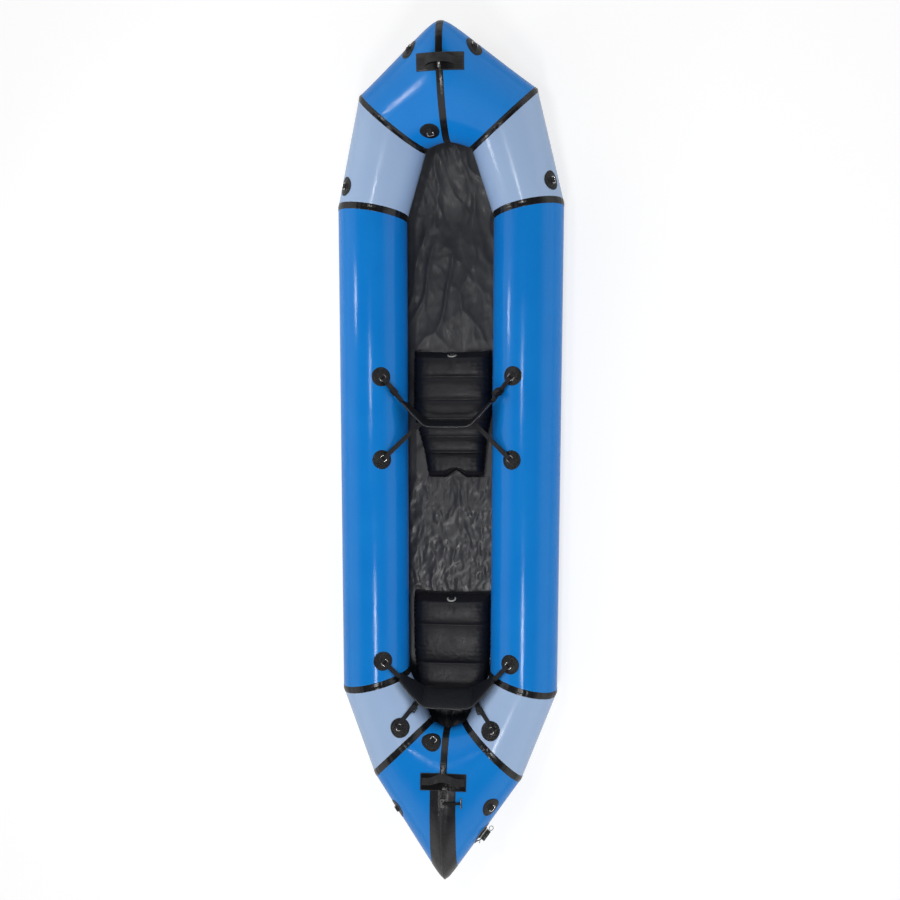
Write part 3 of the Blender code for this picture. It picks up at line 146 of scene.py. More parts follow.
def add_stage():
    """Floor of matt white paper, and a sky that is white up to 30 degrees over the horizon and dim
    above 50. The camera sees the paper paler than the boat does."""
    mesh = bpy.data.meshes.new("studio_floor")
    mesh.from_pydata([(-9, -9, 0), (9, -9, 0), (9, 9, 0), (-9, 9, 0)], [], [(0, 1, 2, 3)])
    floor = bpy.data.objects.new("studio_floor", mesh)
    floor.location.z = -0.0005
    bpy.context.scene.collection.objects.link(floor)
    paper = shaded("white_paper", lambda tree: tint(
        tree, node(tree, "LightPath").outputs["Is Camera Ray"], "F6F6F6", "C0C0C0"),
        Roughness=0.9, Specular_IOR_Level=0.0, Emission_Color=(1.0, 1.0, 1.0, 1.0))
    tree = paper.node_tree
    seen = node(tree, "LightPath").outputs["Is Camera Ray"]
    glow = tree.nodes["Principled BSDF"].inputs["Emission Strength"]
    tree.links.new(reach(tree, seen, 0.0, 1.0, 0.0, 0.64), glow)
    mesh.materials.append(paper)
    world = bpy.data.worlds.new("white_studio")
    world.use_nodes = True
    tree = world.node_tree
    height = node(tree, "SeparateXYZ", {0: node(tree, "TexCoord").outputs["Generated"]}).outputs[2]
    backdrop = tree.nodes["Background"].inputs
    backdrop["Color"].default_value = (1.0, 1.0, 1.0, 1.0)
    tree.links.new(reach(tree, height, 0.50, 0.78, 1.11, 0.09), backdrop["Strength"])
    bpy.context.scene.world = world


add_camera()
add_stage()
bpy.context.scene.view_settings.view_transform = "Standard"
add_soft_box("left_soft_box", (-1.47, 0.84, 1.15), (0.18, 0.26), 3.6)
add_soft_box("top_soft_box", (-0.50, 0.53, 3.42), (0.20, 0.42), 11.0)
add_soft_box("stern_soft_box", (0.12, -1.34, 3.40), (0.34, 0.80), 30.0)


# The air tube: ten panels of nylon coated with urethane on both sides, cut as mitred cylinders
# and welded edge to edge. Sides and both ends are blue, the four quarters between them pale. The
# coating is smooth and glossy, and the cloth puckers a little where the mitres pull it together.
HALF_LENGTH, HALF_BEAM, TUBE_DIAMETER = 1.62, 0.453, 0.275
TUBE_WALL, FLOOR_THICK, TAPE_THICK, GLUE = 0.0006, 0.001, 0.0008, 0.0003
# Mitre rings of the starboard half. Outer edge: shares of HALF_BEAM and HALF_LENGTH. Width across and
# height: shares of TUBE_DIAMETER. Then degrees that the mitre turns from straight across and that its
# top leans towards amidships, and the rise of its underside over the floor
MITRES = {
    "aft_side": ((0.945, -0.565), 0.992, 0.974, -14.6, -4.0, 0.0),
    "fore_side": ((1.0, 0.625), 1.025, 0.996, 9.6, 1.0, 0.0),
    "bow_quarter": ((0.766, 0.891), 1.227, 1.018, 41.2, 15.5, 0.063),
    "stern_quarter": ((0.640, -0.772), 1.121, 1.018, -43.7, 6.3, 0.0265),
}
# Rings where port and starboard meet: long and short radius as shares of TUBE_DIAMETER, degrees of
# tilt, the way out along Y, the rise of the underside, and the share of the mitre's half width over
# which the tip is rounded
TIPS = {
    "bow": (0.869, 0.516, 42.4, 1.0, 0.163, 0.103),
    "stern": (1.062, 0.5345, 5.4, -1.0, 0.081, 0.054),
}
PANELS = {
    "side": ("aft_side", "fore_side"),
    "bow_quarter": ("fore_side", "bow_quarter"),
    "stern_quarter": ("aft_side", "stern_quarter"),
    "bow_end": ("bow_quarter", "bow"),
    "stern_end": ("stern_quarter", "stern"),
}
SIDES = {"starboard": 1.0, "port": -1.0}
PUCKER_DEPTH, PUCKER_REACH, SEAM_GAP = 0.0011, 0.034, 0.00015
# Rows of a panel: steps near the seams and between them, and how far in from a seam they are fine
FINE_STEP, COARSE_STEP, FINE_REACH = 0.007, 0.045, 0.056
# An end panel's rows come ever closer over this last share of it, where it bends round the tip
TIP_SHARE, TIP_ROWS = 0.3, 28


def ring(name, angle):
    """Points centre + across * cos(angle) + up * sin(angle) of a mitre or tip ring, and its centre."""
    centre, across, up = RINGS[name]
    angle = np.asarray(angle, float)[..., None]
    return centre + np.cos(angle) * across + np.sin(angle) * up, centre


def mitre_axes(name):
    """Centre, half width across and half height up of a mitre ring. Across lies level and turned in
    plan, up leans from upright, and the centre is half a width in from the outer edge."""
    (outer_x, outer_y), width, height, turn, lean, rise = MITRES[name]
    turn, lean = math.radians(turn), math.radians(lean)
    across = np.array([math.cos(turn), math.sin(turn), 0.0]) * width * TUBE_DIAMETER / 2
    away = np.array([-math.sin(turn), math.cos(turn), 0.0]) * math.copysign(1.0, outer_y)
    up = (np.array([0.0, 0.0, math.cos(lean)]) - away * math.sin(lean)) * height * TUBE_DIAMETER / 2
    outer = np.array([outer_x * HALF_BEAM, outer_y * HALF_LENGTH, GLUE + FLOOR_THICK + rise + up[2]])
    return outer - across, across, up


def tip_axes(name):
    """Centre, long and short half axes of a tilted tip ring, so far out that the rounded tip, a blend
    of the tip ring and its mitre ring, reaches HALF_LENGTH less the seam tape."""
    long_share, short_share, tilt, sign, rise, rounding = TIPS[name]
    tilt = math.radians(tilt)
    across = np.array([0.0, sign * math.cos(tilt), math.sin(tilt)]) * long_share * TUBE_DIAMETER
    up = np.array([0.0, -sign * math.sin(tilt), math.cos(tilt)]) * short_share * TUBE_DIAMETER
    around = np.linspace(0.0, 2 * math.pi, 192)
    share = rounding / math.hypot(1.0, rounding)
    blended = ((1 - share) * (np.cos(around) * across[1] + np.sin(around) * up[1])
               + share * ring(PANELS[name + "_end"][0], around)[0][:, 1])
    place_out = (HALF_LENGTH - TAPE_THICK - np.max(sign * blended)) / (1 - share)
    height = GLUE + FLOOR_THICK + rise + math.hypot(across[2], up[2])
    return np.array([0.0, sign * place_out, height]), across, up


RINGS = {name: mitre_axes(name) for name in MITRES}
RINGS.update({name: tip_axes(name) for name in TIPS})


def tube(panel, along, angle, lift=0.0):
    """Point over a starboard panel, along 0..1 between its rings and angle radians around the tube.

    Straight lines join the two rings. An end panel's share of the mitre ring falls to the tip as
    sqrt(out^2 + b^2), so that port and starboard meet in a round. lift is along the ring's radius.
    """
    first, second = PANELS[panel]
    along, angle = np.broadcast_arrays(np.asarray(along, float), np.asarray(angle, float))
    start, start_centre = ring(first, angle)
    end, end_centre = ring(second, angle)
    if second in TIPS:
        rounding, out = TIPS[second][5], 1.0 - along
        share = (np.sqrt(out * out + rounding * rounding) / math.hypot(1.0, rounding))[..., None]
        point, centre = end + (start - end) * share, end_centre + (start_centre - end_centre) * share
        point[..., 0], centre[..., 0] = out * start[..., 0], out * start_centre[0]
    else:
        share = along[..., None]
        point, centre = start + (end - start) * share, start_centre + (end_centre - start_centre) * share
    radial = point - centre
    lift = np.asarray(lift, float)[..., None]
    return point + radial / np.linalg.norm(radial, axis=-1, keepdims=True) * lift


def from_end(panel, distance, angle, far=False):
    """The along value at a distance in metres from the panel's first or second ring."""
    start, nudge = (1.0, -1e-3) if far else (0.0, 1e-3)
    if far and PANELS[panel][1] in TIPS:
        return 1.0 - distance / ring(PANELS[panel][0], angle)[0][..., 0]
    step = tube(panel, start + nudge, angle) - tube(panel, start, angle)
    return start + nudge * distance / np.linalg.norm(step, axis=-1)


def pucker(name, angle, distance):
    """Depth of the puckers beside a seam: waves around the tube, of mixed lengths and always
    inwards, that fade with the distance from the seam as exp(-(d / reach)^1.5)."""
    seed = sum(map(ord, name))
    wave = sum(np.sin(angle * count + seed * (k + 1.7)) * size
               for k, (count, size) in enumerate(((19, 0.5), (31, 0.8), (43, 0.6), (67, 0.3))))
    depth = np.clip(0.35 + 0.45 * wave, 0.0, 1.2)
    return -PUCKER_DEPTH * depth * np.exp(-(np.abs(distance) / PUCKER_REACH) ** 1.5)


def mirrored(points, side):
    """The same points on the starboard (+1) or port (-1) half."""
    return np.asarray(points) * np.array([side, 1.0, 1.0])


def piece(name, points, material, body="packraft", close_rows=False, close_columns=False,
          caps=False, uv=None, out=None, wall=0.0, replaced=(), smooth=40.0, weld=False):
    """Mesh from a grid of points (rows, columns, xyz), joined round its rows or columns where they
    close and capped by fans where caps is set. It is turned to point along out at its middle, or
    outwards by its volume. uv is a grid of (u, v) in metres. wall is Solidify's thickness inwards,
    smooth the angle in degrees past which an edge is sharp, and weld merges points that meet."""
    rows, columns = points.shape[:2]
    grid = np.arange(rows * columns).reshape(rows, columns)
    low = grid if close_rows else grid[:-1]
    high = np.roll(grid, -1, axis=0) if close_rows else grid[1:]
    right_low, right_high = np.roll(low, -1, axis=1), np.roll(high, -1, axis=1)
    quads = np.stack([low, right_low, right_high, high], axis=-1)
    quads = quads if close_columns else quads[:, :-1]
    quads = quads.reshape(-1, 4)
    vertices = points.reshape(-1, 3)
    faces = quads.tolist()
    if caps:
        faces += [grid[0][::-1].tolist(), grid[-1].tolist()]
    if out is None:
        a, b, c, d = (vertices[quads[:, k]] for k in range(4))
        centre = vertices.mean(axis=0)
        volume = np.sum(np.cross(c - a, d - b) * ((a + c) / 2 - centre))
        flip = volume < 0
    else:
        a, b, c, d = (vertices[quads[len(quads) // 2, k]] for k in range(4))
        flip = np.dot(np.cross(c - a, d - b), out) < 0
    if flip:
        faces = [face[::-1] for face in faces]
    mesh = bpy.data.meshes.new(name)
    mesh.from_pydata(vertices.tolist(), [], faces)
    if weld:
        work = bmesh.new()
        work.from_mesh(mesh)
        bmesh.ops.remove_doubles(work, verts=work.verts, dist=1e-5)
        bmesh.ops.dissolve_degenerate(work, edges=work.edges, dist=1e-6)
        work.to_mesh(mesh)
        work.free()
    if uv is not None:
        layer = mesh.uv_layers.new(name="metres")
        index = np.empty(len(mesh.loops), dtype=np.int32)
        mesh.loops.foreach_get("vertex_index", index)
        layer.data.foreach_set("uv", uv.reshape(-1, 2)[index].astype(np.float32).ravel())
    mesh.materials.append(material)
    obj = bpy.data.objects.new(name, mesh)
    bpy.context.scene.collection.objects.link(obj)
    mesh.shade_smooth()
    mesh.set_sharp_from_angle(angle=math.radians(smooth))
    if wall:
        shell = obj.modifiers.new("wall", "SOLIDIFY")
        shell.thickness, shell.offset = wall, -1.0
    if replaced:
        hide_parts(*replaced)
    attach(obj, body)
    return obj


def place(tree, uv=False):
    """Coordinates in metres: the object's own, or those of the piece's UV map."""
    return node(tree, "TexCoord").outputs["UV" if uv else "Object"]


def clouds(tree, size, detail=2.0, stretch=(1.0, 1.0, 1.0), shift=(0.0, 0.0, 0.0)):
    """Soft noise 0..1 whose patches are about size metres wide, longer where stretch is larger."""
    scale = tuple(1.0 / (size * s) for s in stretch)
    scaled = node(tree, "Mapping", {"Vector": place(tree), "Location": shift, "Scale": scale})
    return node(tree, "TexNoise", {"Vector": scaled.outputs[0], "Scale": 1.0, "Detail": detail}).outputs[0]


def sums(tree, operation, first, second):
    """One arithmetic step on two values."""
    return node(tree, "Math", {0: first, 1: second}, operation=operation).outputs[0]


def grained(tree, waves, grain, share):
    """Relief of waves, with a share of a finer grain on top."""
    return sums(tree, "ADD", waves, sums(tree, "MULTIPLY", grain, share))


def mottled(size, dark, light, detail=2.0):
    """Base colour that drifts between two hex codes in patches about size metres wide."""
    return lambda tree: tint(tree, clouds(tree, size, detail), dark, light)


def dulled(size, low, high, detail=2.0):
    """Roughness that drifts between two values in patches about size metres wide."""
    return lambda tree: reach(tree, clouds(tree, size, detail), 0.3, 0.7, low, high)


def coated_nylon(name, dark, light):
    """Nylon with a glossy urethane coating. The eye sees even colour, long soft unevenness of the
    taut cloth in its reflections, and a faint grain, drawn at 1.6 mm to show."""
    def unevenness(tree):
        long_waves = clouds(tree, 0.05, 2.0, stretch=(1.0, 5.0, 1.0))
        return grained(tree, long_waves, clouds(tree, 0.0016, 1.0, shift=(3.0, 1.0, 0.0)), 0.03)

    return shaded(name, mottled(0.16, dark, light, 3.0), unevenness, dulled(0.09, 0.13, 0.21, 3.0),
                  height=0.0010, IOR=1.5, Specular_IOR_Level=0.22)


tube_cloths = {
    "blue": (coated_nylon("coated_nylon_blue", "0C79CF", "1685D8"), "tube_fabric_blue"),
    "pale": (coated_nylon("coated_nylon_pale", "9FB8DC", "A8C1E2"), "tube_fabric_pale"),
}


def spaced(length, fine, coarse, reach_in):
    """Distances 0..length with steps of fine within reach_in of both ends and coarse between."""
    near = np.linspace(0.0, reach_in, max(2, round(reach_in / fine) + 1))
    middle = np.linspace(reach_in, length - reach_in, max(2, round((length - 2 * reach_in) / coarse) + 1))
    return np.concatenate([near, middle[1:-1], length - near[::-1]])


def add_panel(panel, side_name):
    """One panel of the tube: rings of the tube formula from seam to seam, pushed in by the puckers."""
    first, second = PANELS[panel]
    around = np.radians(np.arange(0.0, 360.0, 2.0))
    length = np.linalg.norm(ring(second, math.pi / 2)[0] - ring(first, math.pi / 2)[0])
    shares = spaced(length, FINE_STEP, COARSE_STEP, FINE_REACH) / length
    if second in TIPS:
        bend = 1.0 - TIP_SHARE * np.linspace(1.0, 0.0, TIP_ROWS) ** 1.9
        shares = np.append(shares[shares < bend[0] - 0.01], bend)
    along, angle = np.meshgrid(shares, around, indexing="ij")
    low, high = from_end(panel, SEAM_GAP, angle), from_end(panel, SEAM_GAP, angle, far=True)
    lift = pucker(first, angle, along * length)
    if second in TIPS:
        lift = lift + 0.5 * pucker(second, angle, (1.0 - along) * length)
    else:
        lift = lift + pucker(second, angle, (1.0 - along) * length)
    points = mirrored(tube(panel, low + (high - low) * along, angle, lift), SIDES[side_name])
    middle = points[len(points) // 2]
    cloth, slot = tube_cloths["pale" if "quarter" in panel else "blue"]
    name = f"{panel}_{side_name}_cloth"
    piece(name, points, cloth, close_columns=True, wall=TUBE_WALL,
          replaced=[f"hull_{panel}_{side_name}"], out=middle[len(middle) // 2] - middle.mean(axis=0))


for side_name in SIDES:
    for panel in PANELS:
        add_panel(panel, side_name)


# Seam tapes: 26 mm black urethane tape, heat-welded over every seam of the tube. It is 0.8 mm
# thick with thinned edges, glossier than the cloth, and follows its puckers.
TAPE_HALF = 0.013
SEAMS = {
    "aft_side": (("stern_quarter", False), ("side", False)),
    "fore_side": (("side", True), ("bow_quarter", False)),
    "bow_quarter": (("bow_quarter", True), ("bow_end", False)),
    "stern_quarter": (("stern_quarter", True), ("stern_end", False)),
}
TAPE_PROFILE = np.array([(-1.03, 0.1), (-1.0, 0.7), (-0.94, 1.0), (-0.5, 1.0), (-0.1, 1.0), (0.0, 1.1),
                         (0.1, 1.0), (0.5, 1.0), (0.94, 1.0), (1.0, 0.7), (1.03, 0.1), (0.5, 0.05),
                         (0.0, 0.05), (-0.5, 0.05)])

# The eye sees black with small bright patches, where soft dents break the reflections up
welded_tape = shaded("welded_urethane_tape", "151517", lambda tree: clouds(tree, 0.012, 3.0),
                     dulled(0.03, 0.16, 0.30, 3.0), height=0.0006, IOR=1.5, Specular_IOR_Level=0.4)


def lay_tape(name, half_at, first, last):
    """Tape whose profile, across the seam and up, is carried around the tube from the first to the
    last angle in degrees. half_at gives the points at signed distances from the seam."""
    angles = np.radians(np.arange(first, last + 1e-6, 2.0))
    angle, across = np.meshgrid(angles, TAPE_PROFILE[:, 0] * TAPE_HALF, indexing="ij")
    points = half_at(angle, across, np.broadcast_to(TAPE_PROFILE[:, 1] * TAPE_THICK, angle.shape))
    return piece(name, points, welded_tape, close_columns=True, caps=True)


def mitre_seam(ring_name, side):
    """Points about a mitre ring: on its first panel where the distance is negative, else on its
    second, raised over the puckered cloth."""
    def half_at(angle, across, lift):
        lift = lift + pucker(ring_name, angle, across)
        (first, first_far), (second, second_far) = SEAMS[ring_name]
        distance = np.abs(across)
        before = tube(first, from_end(first, distance, angle, first_far), angle, lift)
        after = tube(second, from_end(second, distance, angle, second_far), angle, lift)
        return mirrored(np.where((across < 0)[..., None], before, after), side)
    return half_at


def over_tip(panel, angle, across, lift):
    """Points of an end panel at a signed distance from the centre plane: its own on starboard, the
    mirrored ones on port."""
    along = 1.0 - np.abs(across) / ring(PANELS[panel][0], angle)[0][..., 0]
    return tube(panel, along, angle, lift) * np.stack(
        [np.where(across < 0, -1.0, 1.0), np.ones_like(across), np.ones_like(across)], axis=-1)


def tip_seam(panel):
    """Points about the seam on the centre plane of an end."""
    def half_at(angle, across, lift):
        return over_tip(panel, angle, across, lift + 0.5 * pucker(PANELS[panel][1], angle, across))
    return half_at


for ring_name in SEAMS:
    for side_name, side in SIDES.items():
        lay_tape(f"{ring_name}_tape_{side_name}", mitre_seam(ring_name, side), -44.0, 262.0)
lay_tape("bow_tape", tip_seam("bow_end"), -44.0, 262.0)
lay_tape("stern_tape", tip_seam("stern_end"), 106.0, 262.0)
lay_tape("stern_keel_tape", tip_seam("stern_end"), -44.0, -9.0)


# The floor: one sheet of heavier black nylon, glued under the tubes all round and stretched
# between them. It is glossy, and stays rumpled in long folds towards the bow and short ones between
# the seats.
FLOOR_STEP = 0.008
# Where the seats stand, and how far from there the folds fade in: the sheet lies flat under them
SEAT_SPOTS = ((0.184, 0.235, 0.285), (-0.774, 0.205, 0.255))


def lattice(x, y, seed):
    """Smooth noise 0..1: random values at whole numbers, blended by 3t^2 - 2t^3 between them."""
    table = np.random.default_rng(seed).random((64, 64))
    low_x, low_y = np.floor(x).astype(int), np.floor(y).astype(int)
    t, s = x - low_x, y - low_y
    t, s = t * t * (3 - 2 * t), s * s * (3 - 2 * s)
    a, b = table[low_x % 64, low_y % 64], table[(low_x + 1) % 64, low_y % 64]
    c, d = table[low_x % 64, (low_y + 1) % 64], table[(low_x + 1) % 64, (low_y + 1) % 64]
    return (a * (1 - t) + b * t) * (1 - s) + (c * (1 - t) + d * t) * s


def folds(x, y, width, length, turn, seed):
    """Ridges 0..1 of a width and length in metres, lying at a turn in degrees from +Y: one minus
    twice the noise's distance from a half, squared, where a second noise bends them."""
    turn = math.radians(turn)
    bend = (lattice(x / (2.5 * width) + 7.0, y / (2.5 * width), seed + 50) - 0.5) * 1.6
    across = (x * math.cos(turn) + y * math.sin(turn)) / width + bend
    ahead = (y * math.cos(turn) - x * math.sin(turn)) / length
    return np.clip(1.0 - 2.6 * np.abs(lattice(across, ahead, seed) - 0.5), 0.0, 1.0) ** 2


def fade(value, low, high):
    """Smooth step from 0 at low to 1 at high."""
    t = np.clip((value - low) / (high - low), 0.0, 1.0)
    return t * t * (3 - 2 * t)


def floor_folds(x, y):
    """Height of the folds: long slanting ones forward, finer crumples between the seats."""
    long_folds = 0.0064 * folds(x, y, 0.055, 0.34, -9.0, 3) + 0.0026 * folds(x, y, 0.034, 0.12, 24.0, 9)
    short = 0.0042 * folds(x, y, 0.030, 0.055, 14.0, 21) + 0.0026 * folds(x, y, 0.017, 0.034, -28.0, 33)
    forward = fade(y, -0.05, 0.30)
    return long_folds * (0.35 + 0.65 * forward) + short * (1.0 - 0.80 * forward)


def softened(values, width):
    """Values on an even grid, averaged over that many neighbours to each side."""
    padded = np.pad(values, width, mode="edge")
    return np.convolve(padded, np.ones(2 * width + 1) / (2 * width + 1), mode="same")[width:-width]


def floor_rows(panel, backwards):
    """Rows of one face of the floor along a panel: from the glued edge at -45 degrees to the keel
    line at -90, then straight across to the centre plane."""
    first, second = (ring(name, -math.pi / 2)[0] for name in PANELS[panel])
    along = np.linspace(0.0, 1.0, int(np.linalg.norm(second - first) / FLOOR_STEP) + 2)
    along = np.minimum(along[::-1] if backwards else along, 0.9985)
    around = np.radians(np.arange(-45.0, -91.0, -7.5))
    edge = tube(panel, *np.meshgrid(along, around, indexing="ij"), GLUE)
    keel = edge[:, -1]
    shares = np.concatenate([np.linspace(1.0, 0.62, 8)[1:], np.linspace(0.62, 0.0, 38)[1:]])
    inner = keel[:, None] * np.stack([shares, np.ones_like(shares), np.ones_like(shares)], axis=-1)
    return np.concatenate([edge, inner], axis=1)


# The eye sees a soft sheen that follows the folds, and a grain, drawn at 1.5 mm to show
floor_nylon = shaded(
    "heavy_coated_floor_nylon", mottled(0.05, "363638", "474749", 4.0),
    lambda tree: grained(tree, clouds(tree, 0.030, 2.0, stretch=(1.0, 2.4, 1.0)),
                         clouds(tree, 0.0015, 1.0), 0.05),
    dulled(0.03, 0.30, 0.46, 4.0), height=0.0014, IOR=1.48)


def add_floor():
    """The floor, both halves in one grid. Its rise to the bow is rounded by averaging, and the folds
    stand on the stretched sheet wherever it hangs free."""
    panels = {"stern_end": True, "stern_quarter": True, "side": False, "bow_quarter": False}
    half = np.concatenate([floor_rows(panel, backwards)[:-1] for panel, backwards in panels.items()]
                          + [floor_rows("bow_end", False)])
    points = np.concatenate([half, mirrored(half[:, -2::-1], -1.0)], axis=1)
    x, y = points[..., 0], points[..., 1]
    glued, columns = 6, np.arange(points.shape[1])
    inside = (columns > glued) & (columns < points.shape[1] - glued - 1)
    inwards = 1.0 - np.abs(x) / np.maximum(np.abs(points[:, glued, :1]), 0.02)
    rise = ring("fore_side", -math.pi / 2)[0][1]
    slack = fade(inwards, 0.0, 0.35) * fade(np.abs(y - rise), 0.14, 0.09) * inside
    even = np.apply_along_axis(softened, 0, points[..., 2], 9)
    points[..., 2] += (even - points[..., 2]) * slack
    seats = np.prod([fade(np.abs(y - spot), near, far) for spot, near, far in SEAT_SPOTS], axis=0)
    points[..., 2] += floor_folds(x, y) * fade(inwards, 0.22, 0.5) * seats * inside
    floor = piece("floor_cloth", points, floor_nylon, uv=points[..., :2],
                  out=(0.0, 0.0, 1.0), wall=FLOOR_THICK, replaced=["floor_sheet"], smooth=70.0)


add_floor()


# Lashing points: a round patch of coated cloth glued to the tube, a webbing loop sewn across it,
# and a steel D-ring that swings in the loop. A row of stitches runs around near the patch's rim.
PATCH_RADIUS, PATCH_THICK = 0.0375, 0.001
LOOP_HALF, LOOP_WIDTH, LOOP_THICK = 0.018, 0.0188, 0.001
RING_HALF, RING_REACH, RING_RADIUS, RING_HANG = 0.012, 0.015, 0.002, math.radians(5.0)
# Panel, share along it, degrees around the tube and side, then the heading in which the ring hangs
LASHINGS = {
    "bow_starboard": (("bow_end", 0.65, 18.0, 1.0), -90.0),
    "bow_port": (("bow_end", 0.65, 18.0, -1.0), -90.0),
    "bow_inner": (("bow_end", 0.649, 128.0, -1.0), 90.0),
    "front_starboard": (("bow_quarter", 0.183, 40.8, 1.0), -90.0),
    "front_port": (("bow_quarter", 0.183, 40.8, -1.0), -90.0),
    "stern_inner": (("stern_end", 0.5, 140.0, -1.0), 90.0),
    "stern_starboard": (("stern_end", 0.335, 44.0, 1.0), -90.0),
    "stern_port": (("stern_end", 0.335, 26.0, -1.0), -90.0),
}
# Patch from the middle of its face round its rim to the middle of its back: shares of its radius
# and of its thickness
PATCH_PROFILE = ((0.02, 1.0), (0.3, 1.0), (0.6, 1.0), (0.8, 1.0), (0.94, 1.0), (0.985, 0.85),
                 (1.0, 0.4), (0.99, 0.0), (0.6, 0.0), (0.02, 0.0))
# Outline of a D-ring's centre line: shares of its reach and of its half width
RING_OUTLINE = ((0.0, -0.84), (0.0, 0.84), (0.16, 1.0), (0.66, 1.0), (0.92, 0.88),
                (1.0, 0.62), (1.0, -0.62), (0.92, -0.88), (0.66, -1.0), (0.16, -1.0))
# Ribbon's section: shares of half its width and of its thickness
RIBBON_PROFILE = np.array([(-1.0, 0.3), (-0.98, 0.0), (-0.5, 0.0), (0.0, 0.0), (0.5, 0.0), (0.98, 0.0),
                           (1.0, 0.3), (1.0, 0.7), (0.98, 1.0), (0.5, 1.0), (0.0, 1.0), (-0.5, 1.0),
                           (-0.98, 1.0), (-1.0, 0.7)])


def hull_axes(panel, along, angle):
    """Place on the tube, its unit vectors along the panel, around the tube and outwards, and how
    far a unit of along and of angle moves on it."""
    tiny = 1e-4
    here = tube(panel, along, angle)
    moves = np.stack([tube(panel, along + tiny, angle) - here,
                      tube(panel, along, angle + tiny) - here], axis=-2) / tiny
    normal = np.cross(moves[..., 0, :], moves[..., 1, :])
    normal *= np.sign(np.sum(normal * (tube(panel, along, angle, 1.0) - here), axis=-1, keepdims=True))
    normal /= np.linalg.norm(normal, axis=-1, keepdims=True)
    ahead = moves[..., 0, :] / np.linalg.norm(moves[..., 0, :], axis=-1, keepdims=True)
    around = np.cross(normal, ahead)
    around *= np.sign(np.sum(around * moves[..., 1, :], axis=-1, keepdims=True))
    return here, ahead, around, normal, moves


def on_hull(place, heading, ahead, across, lift):
    """Points about a place on the tube: ahead metres along the heading, across metres beside it
    and lift metres over the cloth. A heading of 0 runs along the panel, 90 around the tube."""
    panel, along, angle, side = place
    angle, turn = math.radians(angle), math.radians(heading)
    _, forward, around, _, moves = hull_axes(panel, along, angle)
    ahead, across = np.broadcast_arrays(np.asarray(ahead, float), np.asarray(across, float))
    offset = ((math.cos(turn) * ahead - math.sin(turn) * across)[..., None] * forward
              + (math.sin(turn) * ahead + math.cos(turn) * across)[..., None] * around)
    steps = offset @ np.linalg.pinv(moves)
    point, _, _, normal, _ = hull_axes(panel, along + steps[..., 0], angle + steps[..., 1])
    return mirrored(point + normal * np.asarray(lift, float)[..., None], side)


def hull_stand(place, heading, lift):
    """Origin and unit X, Y, Z at a height over a place on the tube: X along the heading, Z out."""
    panel, along, angle, side = place
    here, forward, around, normal, _ = hull_axes(panel, along, math.radians(angle))
    turn = math.radians(heading)
    x, z = mirrored(math.cos(turn) * forward + math.sin(turn) * around, side), mirrored(normal, side)
    return mirrored(here + normal * lift, side), x, np.cross(z, x), z


def rounded(points, times, closed=False):
    """Corner cutting: each edge keeps its points at a quarter and three quarters; an open path also
    keeps its ends."""
    points = np.asarray(points, float)
    for _ in range(times):
        after = np.roll(points, -1, axis=0)
        cut = np.stack([0.75 * points + 0.25 * after, 0.25 * points + 0.75 * after], axis=1)
        cut = cut if closed else cut[:-1]
        cut = cut.reshape(-1, points.shape[1])
        points = cut if closed else np.concatenate([points[:1], cut, points[-1:]])
    return points


def wire(name, path, up, radius, material, body="packraft", closed=True, flat=1.0):
    """Round wire along a path, whose sections lie square to it: up is one vector, or one a point,
    off the path's direction. flat squeezes the section along up."""
    ahead = np.roll(path, -1, axis=0) - np.roll(path, 1, axis=0)
    if not closed:
        ahead[0], ahead[-1] = path[1] - path[0], path[-1] - path[-2]
    beside = np.cross(ahead, up)
    beside /= np.linalg.norm(beside, axis=-1, keepdims=True)
    rise = np.cross(beside, ahead)
    rise /= np.linalg.norm(rise, axis=-1, keepdims=True)
    turn = np.linspace(0.0, 2 * math.pi, 12, endpoint=False)[None, :, None]
    points = path[:, None] + radius * (np.cos(turn) * beside[:, None] + flat * np.sin(turn) * rise[:, None])
    return piece(name, points, material, body, close_rows=closed, close_columns=True,
                 caps=not closed)


def ribbon_uv(points, width):
    """Metres across and along a ribbon for each of its points."""
    length = np.linalg.norm(np.diff(points[:, 3], axis=0), axis=-1)
    length = np.concatenate([[0.0], np.cumsum(length)])
    return np.stack(np.broadcast_arrays(RIBBON_PROFILE[:, 0] * width / 2, length[:, None]), axis=-1)


def weave(tree):
    """Plain weave 0..1: sine waves along u and v, multiplied. Its threads are drawn at 1.2 mm to show."""
    both = node(tree, "SeparateXYZ", {0: place(tree, uv=True)}).outputs
    waves = [sums(tree, "SINE", sums(tree, "MULTIPLY", both[k], 2 * math.pi / 0.0012), 0.0) for k in (0, 1)]
    return reach(tree, sums(tree, "MULTIPLY", *waves), -1.0, 1.0, 0.0, 1.0)


def chevrons(tree):
    """Webbing's herringbone 0..1: ribs that slant from the middle to the edges, at 1.6 mm to show."""
    both = node(tree, "SeparateXYZ", {0: place(tree, uv=True)}).outputs
    slant = sums(tree, "MULTIPLY", sums(tree, "ABSOLUTE", both[0], 0.0), 2 * math.pi / 0.004)
    ribs = sums(tree, "ADD", sums(tree, "MULTIPLY", both[1], 2 * math.pi / 0.0016), slant)
    return reach(tree, sums(tree, "SINE", ribs, 0.0), -1.0, 1.0, 0.0, 1.0)


def off(tree, value, line):
    """How far a value lies from a line."""
    return sums(tree, "ABSOLUTE", sums(tree, "SUBTRACT", value, line), 0.0)


